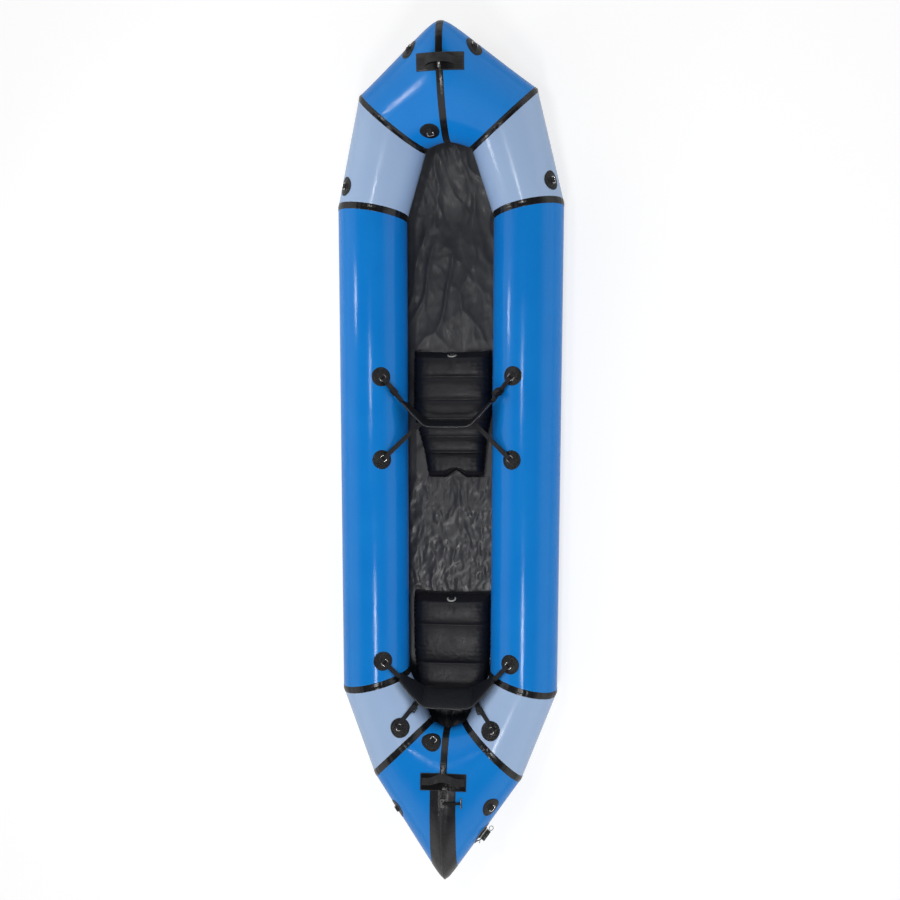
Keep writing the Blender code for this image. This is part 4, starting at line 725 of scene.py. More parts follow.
def rim_stitches(tree):
    """Weave with a ring of raised stitches, 3 mm long, 6 mm inside the patch's rim."""
    spot = place(tree, uv=True)
    out = node(tree, "VectorMath", {0: spot}, operation="LENGTH").outputs["Value"]
    both = node(tree, "SeparateXYZ", {0: spot}).outputs
    turn = sums(tree, "MULTIPLY", sums(tree, "ARCTAN2", both[1], both[0]), 48.0)
    dashes = reach(tree, sums(tree, "SINE", turn, 0.0), -0.5, 0.0, 0.0, 1.0)
    line = reach(tree, off(tree, out, 0.0315), 0.0, 0.0009, 1.0, 0.0)
    return grained(tree, sums(tree, "MULTIPLY", line, dashes), weave(tree), 0.25)


# Coated patch cloth: nearly black, with a small clear gleam that the stitches break
patch_cloth = shaded("coated_patch_cloth", "0D0D0F", rim_stitches, height=0.0007, Roughness=0.27, IOR=1.5,
                     Specular_IOR_Level=0.32)
# Nylon webbing: matt black ribs with a dull sheen. Its colour is painted lighter on the ribs' crests and
# darker in their hollows, painted light and shade that follows the relief
webbing = shaded("nylon_webbing", lambda tree: tint(tree, chevrons(tree), "131316", "212125"), chevrons,
                 height=0.0004, Roughness=0.5, IOR=1.5, Specular_IOR_Level=0.32)
# Steel wire plated with black nickel: a mirror finish that shows as bright and dark lines
dark_steel = shaded("black_nickel_steel", "C6C4C2", rough=dulled(0.004, 0.11, 0.20), Metallic=1.0)


def spread(half, count):
    """Even steps from -half to half."""
    return np.linspace(-half, half, count)


def lay_disc(name, place_on, radius, thick, lift, material, replaced=()):
    """Round sheet on the tube, its profile turned about its middle."""
    profile = np.array(PATCH_PROFILE)
    turn = np.linspace(0.0, 2 * math.pi, 48, endpoint=False)
    ahead, across = profile[:, :1] * radius * np.cos(turn), profile[:, :1] * radius * np.sin(turn)
    lifts = np.broadcast_to(lift + profile[:, 1:] * thick, ahead.shape)
    points = on_hull(place_on, 0.0, ahead, across, lifts)
    return piece(name, points, material, close_columns=True, caps=True,
                 uv=np.stack([ahead, across], axis=-1), replaced=replaced)


def sew_loop(name, place_on, heading, patch_top, bar):
    """Webbing loop over a ring's bar: it lies flat on the patch and rises over the bar."""
    ahead = spread(LOOP_HALF, 49)
    foot, crest = patch_top - 0.0002, bar + RING_RADIUS + 0.0006
    low = foot + (crest - foot) * (1.0 - fade(np.abs(ahead), 0.0022, 0.0072))
    points = on_hull(place_on, heading, ahead[:, None], RIBBON_PROFILE[:, 0] * LOOP_WIDTH / 2,
                     low[:, None] + RIBBON_PROFILE[:, 1] * LOOP_THICK)
    return piece(name, points, webbing, close_columns=True, caps=True,
                 uv=ribbon_uv(points, LOOP_WIDTH))


def bend_ring(name, origin, x, y, z, body):
    """D-ring with the middle of its bar at the origin, its bow along x and its plane along y."""
    outline = rounded(RING_OUTLINE, 3, closed=True) * (RING_REACH, RING_HALF)
    path = origin + outline[:, :1] * x + outline[:, 1:] * y
    return wire(name, path, z, RING_RADIUS, dark_steel, body)


def add_lashing(name):
    """Patch, loop and ring of one lashing point. Inside an end the patch lies a little higher, clear
    of the seam tape."""
    place_on, heading = LASHINGS[name]
    lift = (3 if place_on[0].endswith("end") and place_on[2] > 90 else 1) * GLUE
    top = lift + PATCH_THICK
    bar = top + GLUE + RING_RADIUS
    lay_disc(f"{name}_patch", place_on, PATCH_RADIUS, PATCH_THICK, lift, patch_cloth,
             [f"lash_patch_{name}"])
    sew_loop(f"{name}_loop", place_on, heading, top, bar)
    origin, x, y, z = hull_stand(place_on, heading, bar)
    x, z = (x * math.cos(RING_HANG) + z * math.sin(RING_HANG),
            z * math.cos(RING_HANG) - x * math.sin(RING_HANG))
    ring_piece = bend_ring(f"{name}_ring", origin, x, y, z, f"d_ring_{name}")
    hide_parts(f"d_ring_{name}")


for name in LASHINGS:
    add_lashing(name)


# Seat pads: two pillows of black coated nylon, welded around the rim and along channels across
# them, and blown up by mouth. The cloth puckers along the rim, and pleats behind the valve.
PAD_HALF_WIDTH, PAD_HEIGHT, PAD_RIM = 0.163, 0.092, 0.30
# Where the channels cross, and the height of the chambers' crowns between them, as shares of the
# length and height
PAD_CHANNELS = {"front": (0.045, 0.205, 0.385, 0.535, 0.68, 0.80, 1.0), "rear": (0.05, 0.27, 0.62, 1.0)}
PAD_CROWNS = {"front": (1.0, 1.0, 1.0, 0.98, 0.94, 0.88), "rear": (1.0, 1.0, 0.94)}
# Half width along the length, as shares, and how far the back end lies to starboard
PAD_WIDTHS = {
    "front": ((0.0, 0.98), (0.05, 0.99), (0.5, 1.0), (0.62, 0.90), (0.76, 0.80), (1.0, 0.70)),
    "rear": ((0.0, 0.96), (0.06, 0.99), (0.5, 0.97), (0.75, 0.91), (1.0, 0.76)),
}
PAD_SKEW = {"front": 0.014, "rear": 0.0}
# Place of the valve on the front slope: shares of the length and height, low and high
PAD_SLOPES = {"front": ((0.010, 0.45), (0.055, 0.95)), "rear": ((0.012, 0.45), (0.064, 0.95))}
# Length, place of the middle, depth of the notch in the back edge, and fill
PADS = {"front": (0.512, 0.184, 0.055, 0.8), "rear": (0.442, -0.774, 0.0, 0.8)}


def floor_height(y):
    """Height of the floor at a distance ahead: it joins the undersides of the mitre rings."""
    names = ("stern_quarter", "aft_side", "fore_side", "bow_quarter")
    rings = [ring(name, -math.pi / 2)[0] for name in names]
    return np.interp(y, [r[1] for r in rings], [r[2] for r in rings]) - GLUE


# Welded seat nylon: soft dull black, a little lighter in random patches
seat_cloth = shaded(
    "welded_seat_nylon", mottled(0.06, "131317", "1C1C21", 3.0),
    lambda tree: grained(tree, clouds(tree, 0.022, 4.0), clouds(tree, 0.0009, 1.0), 0.05),
    dulled(0.05, 0.40, 0.52, 3.0), height=0.0020, IOR=1.45)


def add_pad(pad):
    """Pillow in one grid: across its top from port to starboard, then back under it. A chamber
    swells along as sqrt(1 - |2s - 1|^2.6). The height is rim + (chamber - rim) * crown, and the crown
    falls to the rim across the pad as sqrt(1 - u^6)."""
    length, middle, notch_share, fill = PADS[pad]
    v = np.linspace(0.0, 1.0, 261)
    channels = np.array(PAD_CHANNELS[pad])
    at = np.clip(np.searchsorted(channels, v, side="right") - 1, 0, len(channels) - 2)
    across_chamber = np.clip((v - channels[at]) / (channels[at + 1] - channels[at]), 0.0, 1.0)
    swell = np.sqrt(np.clip(1.0 - np.abs(2.0 * across_chamber - 1.0) ** 2.6, 0.0, 1.0))
    height = np.array(PAD_CROWNS[pad])[at] * (0.80 + 0.20 * swell)
    (low_v, low_share), (high_v, high_share) = PAD_SLOPES[pad]
    height = np.where(v < high_v, np.interp(v, (0.0, low_v, high_v), (PAD_RIM, low_share, high_share)),
                      np.maximum(height, high_share * fade(v, high_v + 0.04, high_v)))
    height = softened(height * (1.0 - (1.0 - PAD_RIM) * fade(v, 0.93, 1.0) ** 2), 2)
    height[[0, -1]] = PAD_RIM
    width = softened(np.interp(v, *np.array(PAD_WIDTHS[pad]).T), 9) * PAD_HALF_WIDTH
    u = np.sin(np.linspace(-1.0, 1.0, 61) * math.pi / 2)
    v, u = np.meshgrid(v, u, indexing="ij")
    edge, ends = 1.0 - np.abs(u), np.minimum(v, 1.0 - v)
    notch = notch_share * np.clip(1.0 - np.abs(u) / 0.36, 0.0, 1.0) * fade(v, 0.90, 1.0)
    y = middle + length * (0.5 - v + notch) + 0.007 * u ** 2 * fade(v, 0.12, 0.0)
    scallops = 0.5 + 0.5 * np.sin(y / 0.0033 + 2.0 * np.sin(y / 0.019))
    x = u * width[:, None] * (1.0 - 0.018 * scallops * np.exp(-edge / 0.25))
    x = x + PAD_SKEW[pad] * fade(v, 0.45, 1.0)
    crown = np.sqrt(np.clip(1.0 - u ** 6, 0.0, 1.0))
    share = PAD_RIM + (height[:, None] - PAD_RIM) * crown
    ruffle = np.exp(-edge / 0.10) * edge / 0.06 * np.sin(y / 0.0031 + np.sin(y / 0.02))
    ruffle += np.exp(-ends / 0.05) * ends / 0.03 * np.sin(x / 0.0038 + np.sin(x / 0.03)) * 0.5
    pleat = np.exp(-((x - 0.004) / 0.005) ** 2) * fade(v, 0.20, 0.08) * fade(v, 0.05, 0.09)
    floor_z = floor_height(y) + GLUE
    top = floor_z + share * PAD_HEIGHT + 0.0016 * ruffle * (ends > 0) * crown - 0.006 * pleat
    toe = (1.0 - 12.0 * ends).clip(0.0)
    under = np.sqrt(np.clip(1.0 - u ** 8, 0.0, 1.0)) * np.sqrt(np.clip(1.0 - toe ** 2, 0.0, 1.0))
    bottom = floor_z + PAD_RIM * PAD_HEIGHT * (1.0 - under)
    upper = np.stack([x, y, np.maximum(top, bottom)], axis=-1)
    lower = np.stack([x, y, bottom], axis=-1)
    points = np.concatenate([upper, lower[:, -2:0:-1]], axis=1)
    pillow = piece(f"{pad}_seat_pillow", points, seat_cloth, close_columns=True,
                   replaced=[f"{pad}_seat_pad"], weld=True, smooth=70.0)


for pad in PADS:
    add_pad(pad)


# Seat valves: on each pad's front slope an off-white moulded flange, with a black twist cap
# whose ribbed side gives the fingers a grip.

# Off-white moulded plastic: even and satin, slightly see-through at its edges
pale_plastic = shaded("moulded_white_plastic", mottled(0.01, "D6D2C8", "DEDBD2"),
                      Roughness=0.35, Subsurface_Weight=0.05, IOR=1.49)
# Black moulded plastic: a satin gleam on every rib
black_plastic = shaded("moulded_black_plastic", "141517", rough=dulled(0.006, 0.22, 0.34), IOR=1.49)


def lathe(name, origin, x, y, z, profile, material, slot, body, replaced=(), ribs=0, depth=0.0):
    """Profile of (radius, height, share of the ribs' depth) turned about z, both ends capped by fans. Ribs
    are cosine grooves around it."""
    profile = np.array([(*row, 0.0)[:3] for row in profile])
    turn = np.linspace(0.0, 2 * math.pi, 144 if ribs else 64, endpoint=False)
    radius = profile[:, :1] - depth * profile[:, 2:] * (0.5 + 0.5 * np.cos(ribs * turn))
    points = (origin + radius[..., None] * (np.cos(turn)[:, None] * x + np.sin(turn)[:, None] * y)
              + profile[:, 1, None, None] * z)
    return piece(name, points, material, body, close_columns=True, caps=True, replaced=replaced,
                 smooth=35.0)


def add_seat_valve(pad):
    """Flange and twist cap, square to the middle of the pad's front slope."""
    length, middle, _, _ = PADS[pad]
    low, high = (np.array([0.0, middle + length * (0.5 - row[0]), 0.0]) for row in PAD_SLOPES[pad])
    low[2], high[2] = (floor_height(spot[1]) + GLUE + row[1] * PAD_HEIGHT
                       for spot, row in zip((low, high), PAD_SLOPES[pad]))
    slope = (high - low) / np.linalg.norm(high - low)
    z = np.array([0.0, slope[2], -slope[1]])
    x = np.array([1.0, 0.0, 0.0])
    origin = (low + high) / 2 + z * GLUE
    lathe(f"{pad}_valve_flange", origin, x, np.cross(z, x), z,
          ((0.0004, 0.0), (0.0186, 0.0), (0.019, 0.0004), (0.0188, 0.0013), (0.0178, 0.002), (0.0152, 0.0023),
           (0.0148, 0.0020), (0.0104, 0.0020), (0.0088, 0.0022), (0.0086, 0.0045), (0.0004, 0.0045)),
          pale_plastic, "seat_valve_pale", "packraft", [f"{pad}_seat_valve"])
    lathe(f"{pad}_valve_twist_cap", origin, x, np.cross(z, x), z,
          ((0.0004, 0.005), (0.0118, 0.005), (0.0126, 0.0026), (0.0130, 0.0032, 1.0), (0.0130, 0.0108, 1.0),
           (0.0124, 0.0120, 0.6), (0.0112, 0.0123), (0.0098, 0.0116), (0.0004, 0.0114)),
          black_plastic, "seat_valve_cap_black", f"{pad}_seat_valve_cap", [f"{pad}_seat_valve_cap"],
          ribs=24, depth=0.0009)


for pad in PADS:
    add_seat_valve(pad)


# Back bands: closed-cell foam in black nylon, bound along the edge with shiny grosgrain. The
# front one stands nearly upright across the seat, and the rear one lies back, folded in at two creases.
BAND_HEIGHT, BAND_END_HEIGHT, BAND_THICK, BAND_CENTRE = 0.108, 0.040, 0.014, 0.200
BAND_ADVANCE, BAND_END_RISE = 0.087, 0.034
# Reach to each side, place of the middle, and degrees that the top leans aft
BANDS = {"front": (0.177, 0.140, 14.0), "rear": (0.186, -0.940, 33.0)}
# From the middle to the end: shares of the reach, the advance, the height and the thickness
BAND_STATIONS = np.array([
    (0.0, 0.0, 1.0, 1.0), (0.25, 0.0, 1.0, 1.0), (0.43, 0.02, 1.0, 0.8), (0.53, 0.10, 0.95, 0.8),
    (0.76, 0.52, 0.62, 1.0), (0.95, 0.92, 0.16, 0.85), (1.0, 1.0, 0.0, 0.45)])


def band_up(band):
    """Direction up the leaning band."""
    lean = math.radians(BANDS[band][2])
    return np.array([0.0, -math.sin(lean), math.cos(lean)])


def band_spot(band, reach_share, advance_share, height_share=0.0):
    """Points in the middle of a band's thickness, reach shares running from -1 at port to 1."""
    reach_to, middle, _ = BANDS[band]
    spot = np.stack(np.broadcast_arrays(reach_share * reach_to, middle + advance_share * BAND_ADVANCE,
                                        BAND_CENTRE + advance_share * BAND_END_RISE), axis=-1)
    return spot + band_up(band) * np.asarray(height_share)[..., None] * BAND_HEIGHT


# Back-band nylon: dull black with a weave that shows close up
band_cloth = shaded(
    "back_band_nylon", mottled(0.05, "111215", "18191C", 3.0),
    lambda tree: grained(tree, clouds(tree, 0.02, 3.0), weave(tree), 0.08),
    height=0.0011, Roughness=0.46, IOR=1.48, Specular_IOR_Level=0.3)
# Grosgrain: a fine shiny line along the band's edge
binding = shaded("grosgrain_binding", "2A2A2D", lambda tree: clouds(tree, 0.0012, 1.0),
                 height=0.0002, Roughness=0.27, IOR=1.5)


def add_band(band):
    """Foam pad and its binding. The section, |cos|^0.45 through the thickness and sin up the height,
    is carried along the band's middle line."""
    side_share = np.linspace(-1.0, 1.0, 121)
    shares, *rows = BAND_STATIONS.T
    advance, tall, thick = (softened(np.interp(np.abs(side_share), shares, row), 1) for row in rows)
    middle_line = band_spot(band, side_share, advance)
    up = band_up(band)
    front = np.cross(up, np.gradient(middle_line, axis=0))
    front /= np.linalg.norm(front, axis=-1, keepdims=True)
    tall = BAND_END_HEIGHT + (BAND_HEIGHT - BAND_END_HEIGHT) * tall
    turn = np.linspace(0.0, 2 * math.pi, 40, endpoint=False)
    through = 0.5 * np.sign(np.cos(turn)) * np.abs(np.cos(turn)) ** 0.45
    rise = 0.5 * np.sin(turn)
    swell = (thick * BAND_THICK)[:, None, None] * through[:, None]
    points = middle_line[:, None] + front[:, None] * swell + up * (tall[:, None, None] * rise[:, None])
    uv = np.stack(np.broadcast_arrays(side_share[:, None] * BANDS[band][0], tall[:, None] * rise), axis=-1)
    pad_piece = piece(f"{band}_band_pad", points, band_cloth, close_columns=True,
                      caps=True, uv=uv, replaced=[f"{band}_back_band"])
    edge_rise = up * (tall[1:-1, None] / 2 - 0.0012)
    top_edge, low_edge = (middle_line[1:-1] + sign * edge_rise for sign in (1, -1))
    edge = rounded(np.concatenate([top_edge, low_edge[::-1]]), 1, closed=True)
    wire(f"{band}_band_binding", edge, np.array([0.0, 1.0, 0.2]), 0.0028, binding)


for band in BANDS:
    add_band(band)


# Straps: 18 mm webbing, doubled round a steel ring at each anchor patch and sewn to the band.
# A three-bar glide on one strap of each pair sets its length, and its spare end is left loose.
STRAP_WIDTH, WEBBING_THICK, PLY_GAP = 0.018, 0.0012, 0.001
ANCHORS = {
    "front_fore": ("side", 0.647, 112.3), "front_aft": ("side", 0.4725, 112.5),
    "rear_fore": ("side", 0.0485, 111.4), "rear_aft": ("stern_quarter", 0.731, 111.5),
}
# Where each strap is sewn on: shares of the band's reach, advance and height
SEWN_AT = {"fore": (1.0, 1.0, 0.0), "aft": (0.57, 0.13, 0.14)}
# The straps that carry a glide, and the share of the strap's length at which it sits
GLIDES = {"front_fore": 0.55, "rear_aft": 0.6}
# How a spare end runs from its glide: metres along the strap and out from it
SPARE_ENDS = {
    "front_fore": ((0.010, 0.0035), (-0.004, 0.006), (-0.020, 0.014), (-0.034, 0.013), (-0.042, 0.004)),
    "rear_aft": ((-0.010, 0.0035), (0.004, 0.007), (0.018, 0.013), (0.028, 0.008), (0.034, 0.010)),
}
ROLLED_END = "front_fore_starboard"


def flat_ribbon(name, origin, forward, out, outline, width, times=3):
    """Webbing whose inner face follows an outline drawn in a plane, in metres along forward and
    along out, with its corners cut. Its width lies square to that plane."""
    beside = np.cross(forward, out)
    drawn = rounded(outline, times)
    path = origin + drawn[:, :1] * forward + drawn[:, 1:] * out
    slope = np.gradient(drawn, axis=0)
    slope /= np.linalg.norm(slope, axis=-1, keepdims=True)
    facing = slope[:, 1:] * forward - slope[:, :1] * out
    points = (path[:, None] + beside * (RIBBON_PROFILE[:, :1] * width / 2)
              + facing[:, None] * (RIBBON_PROFILE[:, 1, None] * WEBBING_THICK))
    return piece(name, points, webbing, close_columns=True, caps=True, uv=ribbon_uv(points, width))


def add_strap(name, side_name):
    """Anchor patch, loop and ring, and the strap doubled round the ring's bow: straight plies from
    the band to near the bow, joined by a part turn. A strap with a glide has a loose end too."""
    band, end = name.split("_")
    side, label = SIDES[side_name], f"{name}_{side_name}"
    anchor_place = (*ANCHORS[name], side)
    target = mirrored(band_spot(band, *SEWN_AT[end]), side)
    bar = GLUE + PATCH_THICK + 0.7 * RING_RADIUS
    origin, forward, around, normal = hull_stand(anchor_place, 0.0, bar)
    around = around * side
    direction = (target - origin) / np.linalg.norm(target - origin)
    heading = math.degrees(math.atan2(direction @ around, direction @ forward))
    rise = max(math.asin(direction @ normal), math.radians(15.0))
    origin, x, y, z = hull_stand(anchor_place, heading, bar)
    x = x * math.cos(rise) + z * math.sin(rise)
    z = np.cross(x, y)
    lay_disc(f"{label}_anchor_patch", anchor_place, PATCH_RADIUS, PATCH_THICK, GLUE, patch_cloth,
             [f"strap_anchor_{label}"])
    sew_loop(f"{label}_anchor_loop", anchor_place, heading, GLUE + PATCH_THICK,
             2 * GLUE + PATCH_THICK + RING_RADIUS)
    bend_ring(f"{label}_anchor_ring", origin, x, y, z, "packraft")
    bow = origin + x * RING_REACH
    along = target - bow
    length = np.linalg.norm(along)
    along /= length
    out = np.cross(along, y)
    out /= np.linalg.norm(out) * (1.0 if out @ normal > 0 else -1.0)
    room, ply = RING_RADIUS + WEBBING_THICK, PLY_GAP / 2
    turn = np.radians(np.arange(60.0, 301.0, 30.0))
    outline = np.concatenate([[(length, ply), (0.5 * length, ply), (5 * room, ply)],
                              room * np.stack([np.cos(turn), np.sin(turn)], axis=-1),
                              [(5 * room, -ply), (0.5 * length, -ply), (length, -ply)]])
    flat_ribbon(f"{label}_strap", bow, along, out, outline, STRAP_WIDTH, times=2)
    if name not in GLIDES:
        return
    middle = bow + along * (GLIDES[name] * length)
    if label == ROLLED_END:
        coil_turn = np.linspace(0.0, 5 * math.pi, 90)
        radius = 0.0075 + 0.00062 * coil_turn
        coil = np.stack([0.012 + radius * np.cos(coil_turn),
                         0.0035 + radius * (1 + np.sin(coil_turn))], axis=-1)
        flat_ribbon(f"{label}_rolled_end", middle - along * 0.004, along, out, coil, STRAP_WIDTH,
                    times=0)
    else:
        flat_ribbon(f"{label}_spare_end", middle, along, out, SPARE_ENDS[name], STRAP_WIDTH)


for name in ANCHORS:
    for side_name in SIDES:
        add_strap(name, side_name)


def refinish(node_name, material, edge):
    """Gives a moulded CAD piece its material, and rounds its edges over edge metres."""
    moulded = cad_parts[node_name]
    moulded.material_slots[0].material = material
    rounding = moulded.modifiers.new("moulded_edges", "BEVEL")
    rounding.width, rounding.segments, rounding.limit_method = edge, 2, "ANGLE"


# Acetal glides: smooth black plastic whose rounded edges catch the light
glide_plastic = shaded("acetal_glide_black", "121315", rough=dulled(0.004, 0.25, 0.38), IOR=1.48)
for band in BANDS:
    for side_name in SIDES:
        refinish(f"tri_glide_{band}_{side_name}", glide_plastic, 0.0007)


# Main valve: on a grey patch at the stern, low on the starboard side. Its flange and neck are
# black, an off-white seal shows under the ribbed screw cap, and a tether ties the cap to the boat.
MAIN_PLACE = ("stern_end", 0.515, 7.5, 1.0)
MAIN_PATCH_RADIUS, FLANGE_RADIUS, FLANGE_THICK = 0.0425, 0.026, 0.0025
# Grey coated cloth: mid grey and satin, with the same row of stitches near its rim
grey_cloth = shaded("coated_grey_cloth", "5A5D63", rim_stitches, height=0.0004, Roughness=0.36, IOR=1.5)
flange_lift = 2 * GLUE + PATCH_THICK
lay_disc("main_valve_grey_patch", MAIN_PLACE, MAIN_PATCH_RADIUS, PATCH_THICK, GLUE, grey_cloth,
         ["main_valve_patch"])
lay_disc("main_valve_flange", MAIN_PLACE, FLANGE_RADIUS, FLANGE_THICK, flange_lift, black_plastic,
         ["main_valve_base"])
valve_stand = hull_stand(MAIN_PLACE, 0.0, flange_lift + FLANGE_THICK)
lathe("main_valve_neck", *valve_stand,
      ((0.0132, -0.001), (0.0182, -0.001), (0.0182, 0.0003), (0.0178, 0.0030), (0.0178, 0.0160),
       (0.0172, 0.0164), (0.0138, 0.0164), (0.0132, 0.0158)), black_plastic, "main_valve_black", "packraft")
lathe("main_valve_pale_seal", *valve_stand,
      ((0.0187, 0.0004), (0.0230, 0.0004), (0.0235, 0.0009), (0.0235, 0.0028), (0.0230, 0.0033),
       (0.0187, 0.0033)),
      pale_plastic, "main_valve_seal_pale", "packraft", ["main_valve_seal_ring"])
lathe("main_valve_screw_cap", *valve_stand,
      ((0.0188, 0.0040), (0.0212, 0.0040), (0.0218, 0.0046, 0.5), (0.0218, 0.0064, 0.5), (0.0208, 0.0067),
       (0.0208, 0.0089), (0.0218, 0.0092, 1.0), (0.0220, 0.0100, 1.0), (0.0220, 0.0190, 1.0),
       (0.0214, 0.0204, 0.8), (0.0200, 0.0210), (0.0172, 0.0208), (0.0162, 0.0198), (0.0004, 0.0196)),
      black_plastic, "main_valve_cap_black", "main_valve_cap", ["main_valve_cap"], ribs=20, depth=0.0011)
# Soft rubber: matt charcoal
tether_rubber = shaded("soft_black_rubber", "1D1E20", rough=dulled(0.005, 0.38, 0.5), IOR=1.5)
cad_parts["main_valve_tether"].material_slots[0].material = tether_rubber
origin, x, y, z = valve_stand
loop_turn = np.linspace(0.0, 2 * math.pi, 40, endpoint=False)
loop_path = (origin + x * (-0.0335 + 0.0085 * np.cos(loop_turn))[:, None]
             + z * (0.0135 + 0.0075 * np.sin(loop_turn))[:, None])
wire("main_valve_pull_loop", loop_path, y, 0.0011, tether_rubber,
     "main_valve_tether", flat=1.4)
tail_path = rounded([(0.0235, 0.0052), (0.030, 0.0060), (0.035, 0.0110), (0.0395, 0.0090)], 3)
wire("main_valve_tether_tail", origin + tail_path[:, :1] * x + tail_path[:, 1:] * z, y, 0.0012, tether_rubber,
     "main_valve_tether", closed=False, flat=1.6)


# Grab handles: 26 mm webbing bridged over a stiff black patch at the crest of each end, its two
# feet sewn down by boxed stitches.

# Degrees round the end's centre ring, and layers of tape underneath
HANDLE_AT = {"bow": (58.0, 1), "stern": (112.8, 2)}
# Half length and half width of patch and of webbing, and how far and high the bridge stands
PATCH_HALVES, WEB_HALVES, BRIDGE_REACH, BRIDGE_RISE = (0.088, 0.031), (0.082, 0.013), 0.054, 0.030
# The bridge: shares of its reach and of its rise
HANDLE_ARCH = ((0.0, 1.0), (0.3, 0.95), (0.6, 0.70), (0.83, 0.30), (1.0, 0.0), (1.6, 0.0))


def tip_stand(end, angle, across, around, lift):
    """Points beside an angle of an end's centre ring: metres across the boat on lines square to the
    centre plane, and metres around the ring. Newton's rule finds the angle on each line."""
    panel, angle = end + "_end", math.radians(angle)
    across, around = np.broadcast_arrays(np.asarray(across, float), np.asarray(around, float))
    moved = tube(panel, 1.0, angle + 1e-4) - tube(panel, 1.0, angle)
    turn = angle + around * 1e-4 / np.linalg.norm(moved)
    start, ahead, mitre = tube(panel, 1.0, turn), moved / 1e-4, PANELS[panel][0]
    for _ in range(8):
        miss, nudged = ((tube(panel, 1.0 - np.abs(across) / ring(mitre, a)[0][..., 0], a) - start) @ ahead
                        for a in (turn, turn + 1e-4))
        turn = turn - miss * 1e-4 / (nudged - miss)
    return over_tip(panel, turn, across, lift)


def box_stitches(tree):
    """Webbing's chevrons under two boxes of stitching, 21 mm long and 19 mm wide."""
    both = node(tree, "SeparateXYZ", {0: place(tree, uv=True)}).outputs
    u, v = (sums(tree, "ABSOLUTE", both[k], 0.0) for k in (0, 1))
    lengthwise = reach(tree, off(tree, u, 0.0095), 0.0, 0.0008, 1.0, 0.0)
    inside = reach(tree, off(tree, v, 0.0685), 0.0110, 0.0112, 1.0, 0.0)
    crosswise = reach(tree, off(tree, off(tree, v, 0.0685), 0.0105), 0.0, 0.0008, 1.0, 0.0)
    narrow = reach(tree, u, 0.0095, 0.0098, 1.0, 0.0)
    sides = sums(tree, "MULTIPLY", lengthwise, inside)
    boxes = sums(tree, "MAXIMUM", sides, sums(tree, "MULTIPLY", crosswise, narrow))
    return sums(tree, "ADD", sums(tree, "MULTIPLY", boxes, 1.6), chevrons(tree))


# Handle webbing: matt black ribs, with the boxes of stitching proud at its feet
handle_webbing = shaded("handle_webbing", "1A1A1C", box_stitches, height=0.0004, Roughness=0.45, IOR=1.5,
                        Specular_IOR_Level=0.35)
# Stiff coated patch: glossy black whose slow waves bend the reflections
stiff_patch = shaded("stiff_coated_patch", "0F0F11", lambda tree: clouds(tree, 0.02, 3.0),
                     dulled(0.03, 0.12, 0.22, 3.0), height=0.0012, IOR=1.5, Specular_IOR_Level=0.38)


def outward(panel, degrees):
    """Direction out of the tube at an angle of an end's centre ring."""
    angle = math.radians(degrees)
    return tube(panel, 1.0, angle, 1.0) - tube(panel, 1.0, angle)


def add_handle(end):
    """Patch and webbing of one handle, both laid on the hull's surface, the webbing raised over its
    bridge."""
    angle, layers = HANDLE_AT[end]
    base = GLUE + TAPE_THICK * layers
    across, around = np.meshgrid(spread(PATCH_HALVES[0], 45), spread(PATCH_HALVES[1], 15))
    piece(f"{end}_handle_stiff_patch", tip_stand(end, angle, across, around, base + PATCH_THICK),
          stiff_patch, out=outward(end + "_end", angle), wall=PATCH_THICK,
          replaced=[f"{end}_handle_patch"])
    reach_x = spread(WEB_HALVES[0], 83)
    arch = softened(np.interp(np.abs(reach_x) / BRIDGE_REACH, *np.array(HANDLE_ARCH).T), 3)
    rise = base + PATCH_THICK + 2 * GLUE + BRIDGE_RISE * arch
    across, half_width = np.meshgrid(reach_x, RIBBON_PROFILE[:, 0] * WEB_HALVES[1], indexing="ij")
    lift = rise[:, None] + RIBBON_PROFILE[:, 1] * WEBBING_THICK
    piece(f"{end}_handle_web", tip_stand(end, angle, across, half_width, lift), handle_webbing,
          close_columns=True, caps=True,
          uv=np.stack([half_width, across], axis=-1), replaced=[f"{end}_handle"])


for end in HANDLE_AT:
    add_handle(end)


# Stern zipper: an airtight zipper on a wide tape of rubber-coated cloth, bonded over the tip,
# with a coil under a ridge down its middle. A grey patch seals its lower end, and a moulded slider
# carries a T-shaped pull.
ZIPPER_HALF, ZIPPER_THICK, RIDGE_HEIGHT = 0.049, 0.0008, 0.0030


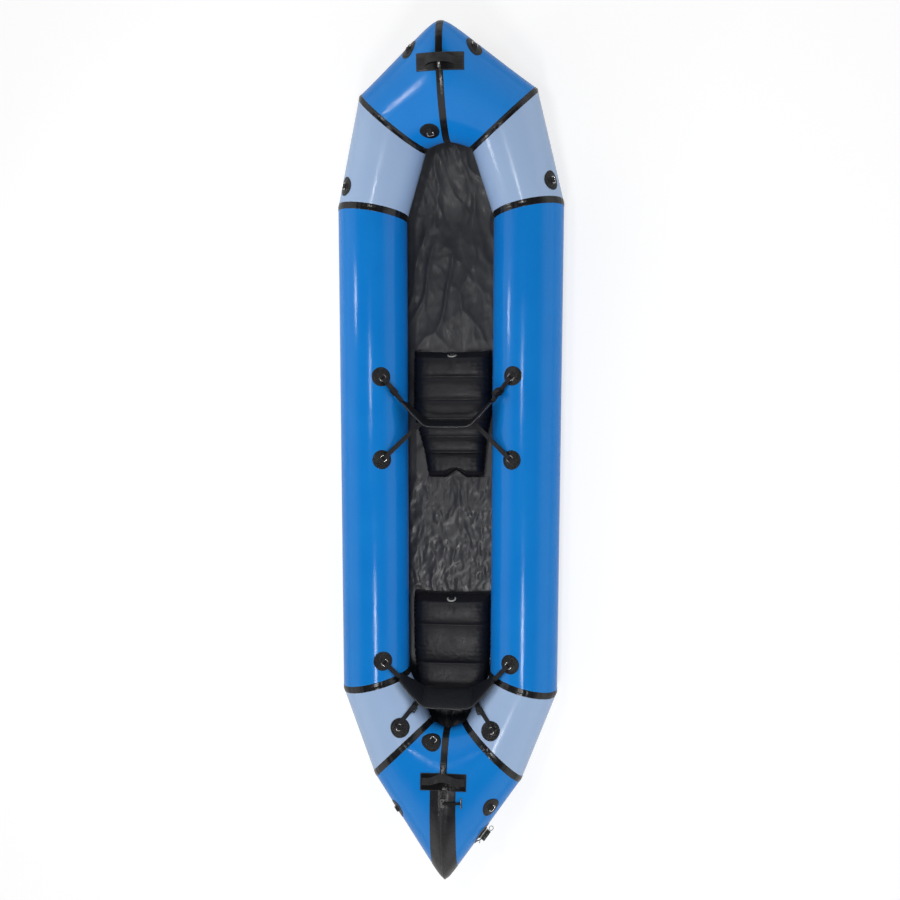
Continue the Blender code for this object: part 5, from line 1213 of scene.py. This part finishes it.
def zipper_lines(tree):
    """Fine grooves along the tape, 3.2 mm apart near the ridge and fading outwards, over soft waves."""
    across_tape = node(tree, "SeparateXYZ", {0: place(tree, uv=True)}).outputs[0]
    grooves = sums(tree, "SINE", sums(tree, "MULTIPLY", across_tape, 2 * math.pi / 0.0032), 0.0)
    near = reach(tree, sums(tree, "ABSOLUTE", across_tape, 0.0), 0.006, 0.022, 1.0, 0.0)
    return sums(tree, "ADD", sums(tree, "MULTIPLY", sums(tree, "MULTIPLY", grooves, near), 0.25),
                clouds(tree, 0.03, 3.0))


# Rubber-coated tape: satin black, with fine bright lines along the grooves
zipper_rubber = shaded("rubber_coated_tape", "1D1D20", zipper_lines, dulled(0.03, 0.22, 0.34, 3.0),
                       height=0.0012, IOR=1.5, Specular_IOR_Level=0.4)
# Sealing patch: plain satin grey
sealed_grey = shaded("grey_sealing_patch", "55575D", lambda tree: clouds(tree, 0.01, 3.0), height=0.0005,
                     Roughness=0.4, IOR=1.5)
# Moulded slider and pull: smooth black plastic with small bright edges
slider_plastic = shaded("slider_acetal", "17181A", rough=dulled(0.004, 0.18, 0.30), IOR=1.48)

# The tape runs from 6 to 104 degrees round the tip. Its middle goes on under the handle's patch, and
# the ridge fades out at both ends
degrees, across = np.meshgrid(np.arange(6.0, 104.1, 1.0), spread(ZIPPER_HALF, 99), indexing="ij")
degrees = degrees + 5.5 * np.clip(1.0 - np.abs(across) / 0.022, 0.0, 1.0) * fade(degrees, 96.0, 104.0)
ridge = RIDGE_HEIGHT * (1.0 - fade(np.abs(across), 0.0030, 0.0062))
ridge = ridge * fade(degrees, 6.0, 10.0) * fade(degrees, 104.0, 99.0)
angle = np.radians(degrees)
piece("zipper_rubber_tape", over_tip("stern_end", angle, across, GLUE + ZIPPER_THICK + ridge), zipper_rubber,
      uv=np.stack([across, angle * 0.2], axis=-1), out=outward("stern_end", 55.0),
      wall=ZIPPER_THICK, replaced=["zipper_band"])
angle, across = np.meshgrid(np.radians(np.arange(-9.9, 5.6, 0.5)), spread(0.020, 21), indexing="ij")
piece("zipper_sealing_patch", over_tip("stern_end", angle, across, 0.0021), sealed_grey,
      uv=np.stack([across, angle * 0.15], axis=-1),
      out=outward("stern_end", 0.0), wall=0.001, replaced=["zipper_end_patch"])
for node_name in ("zipper_slider", "zipper_pull"):
    refinish(node_name, slider_plastic, 0.0004)
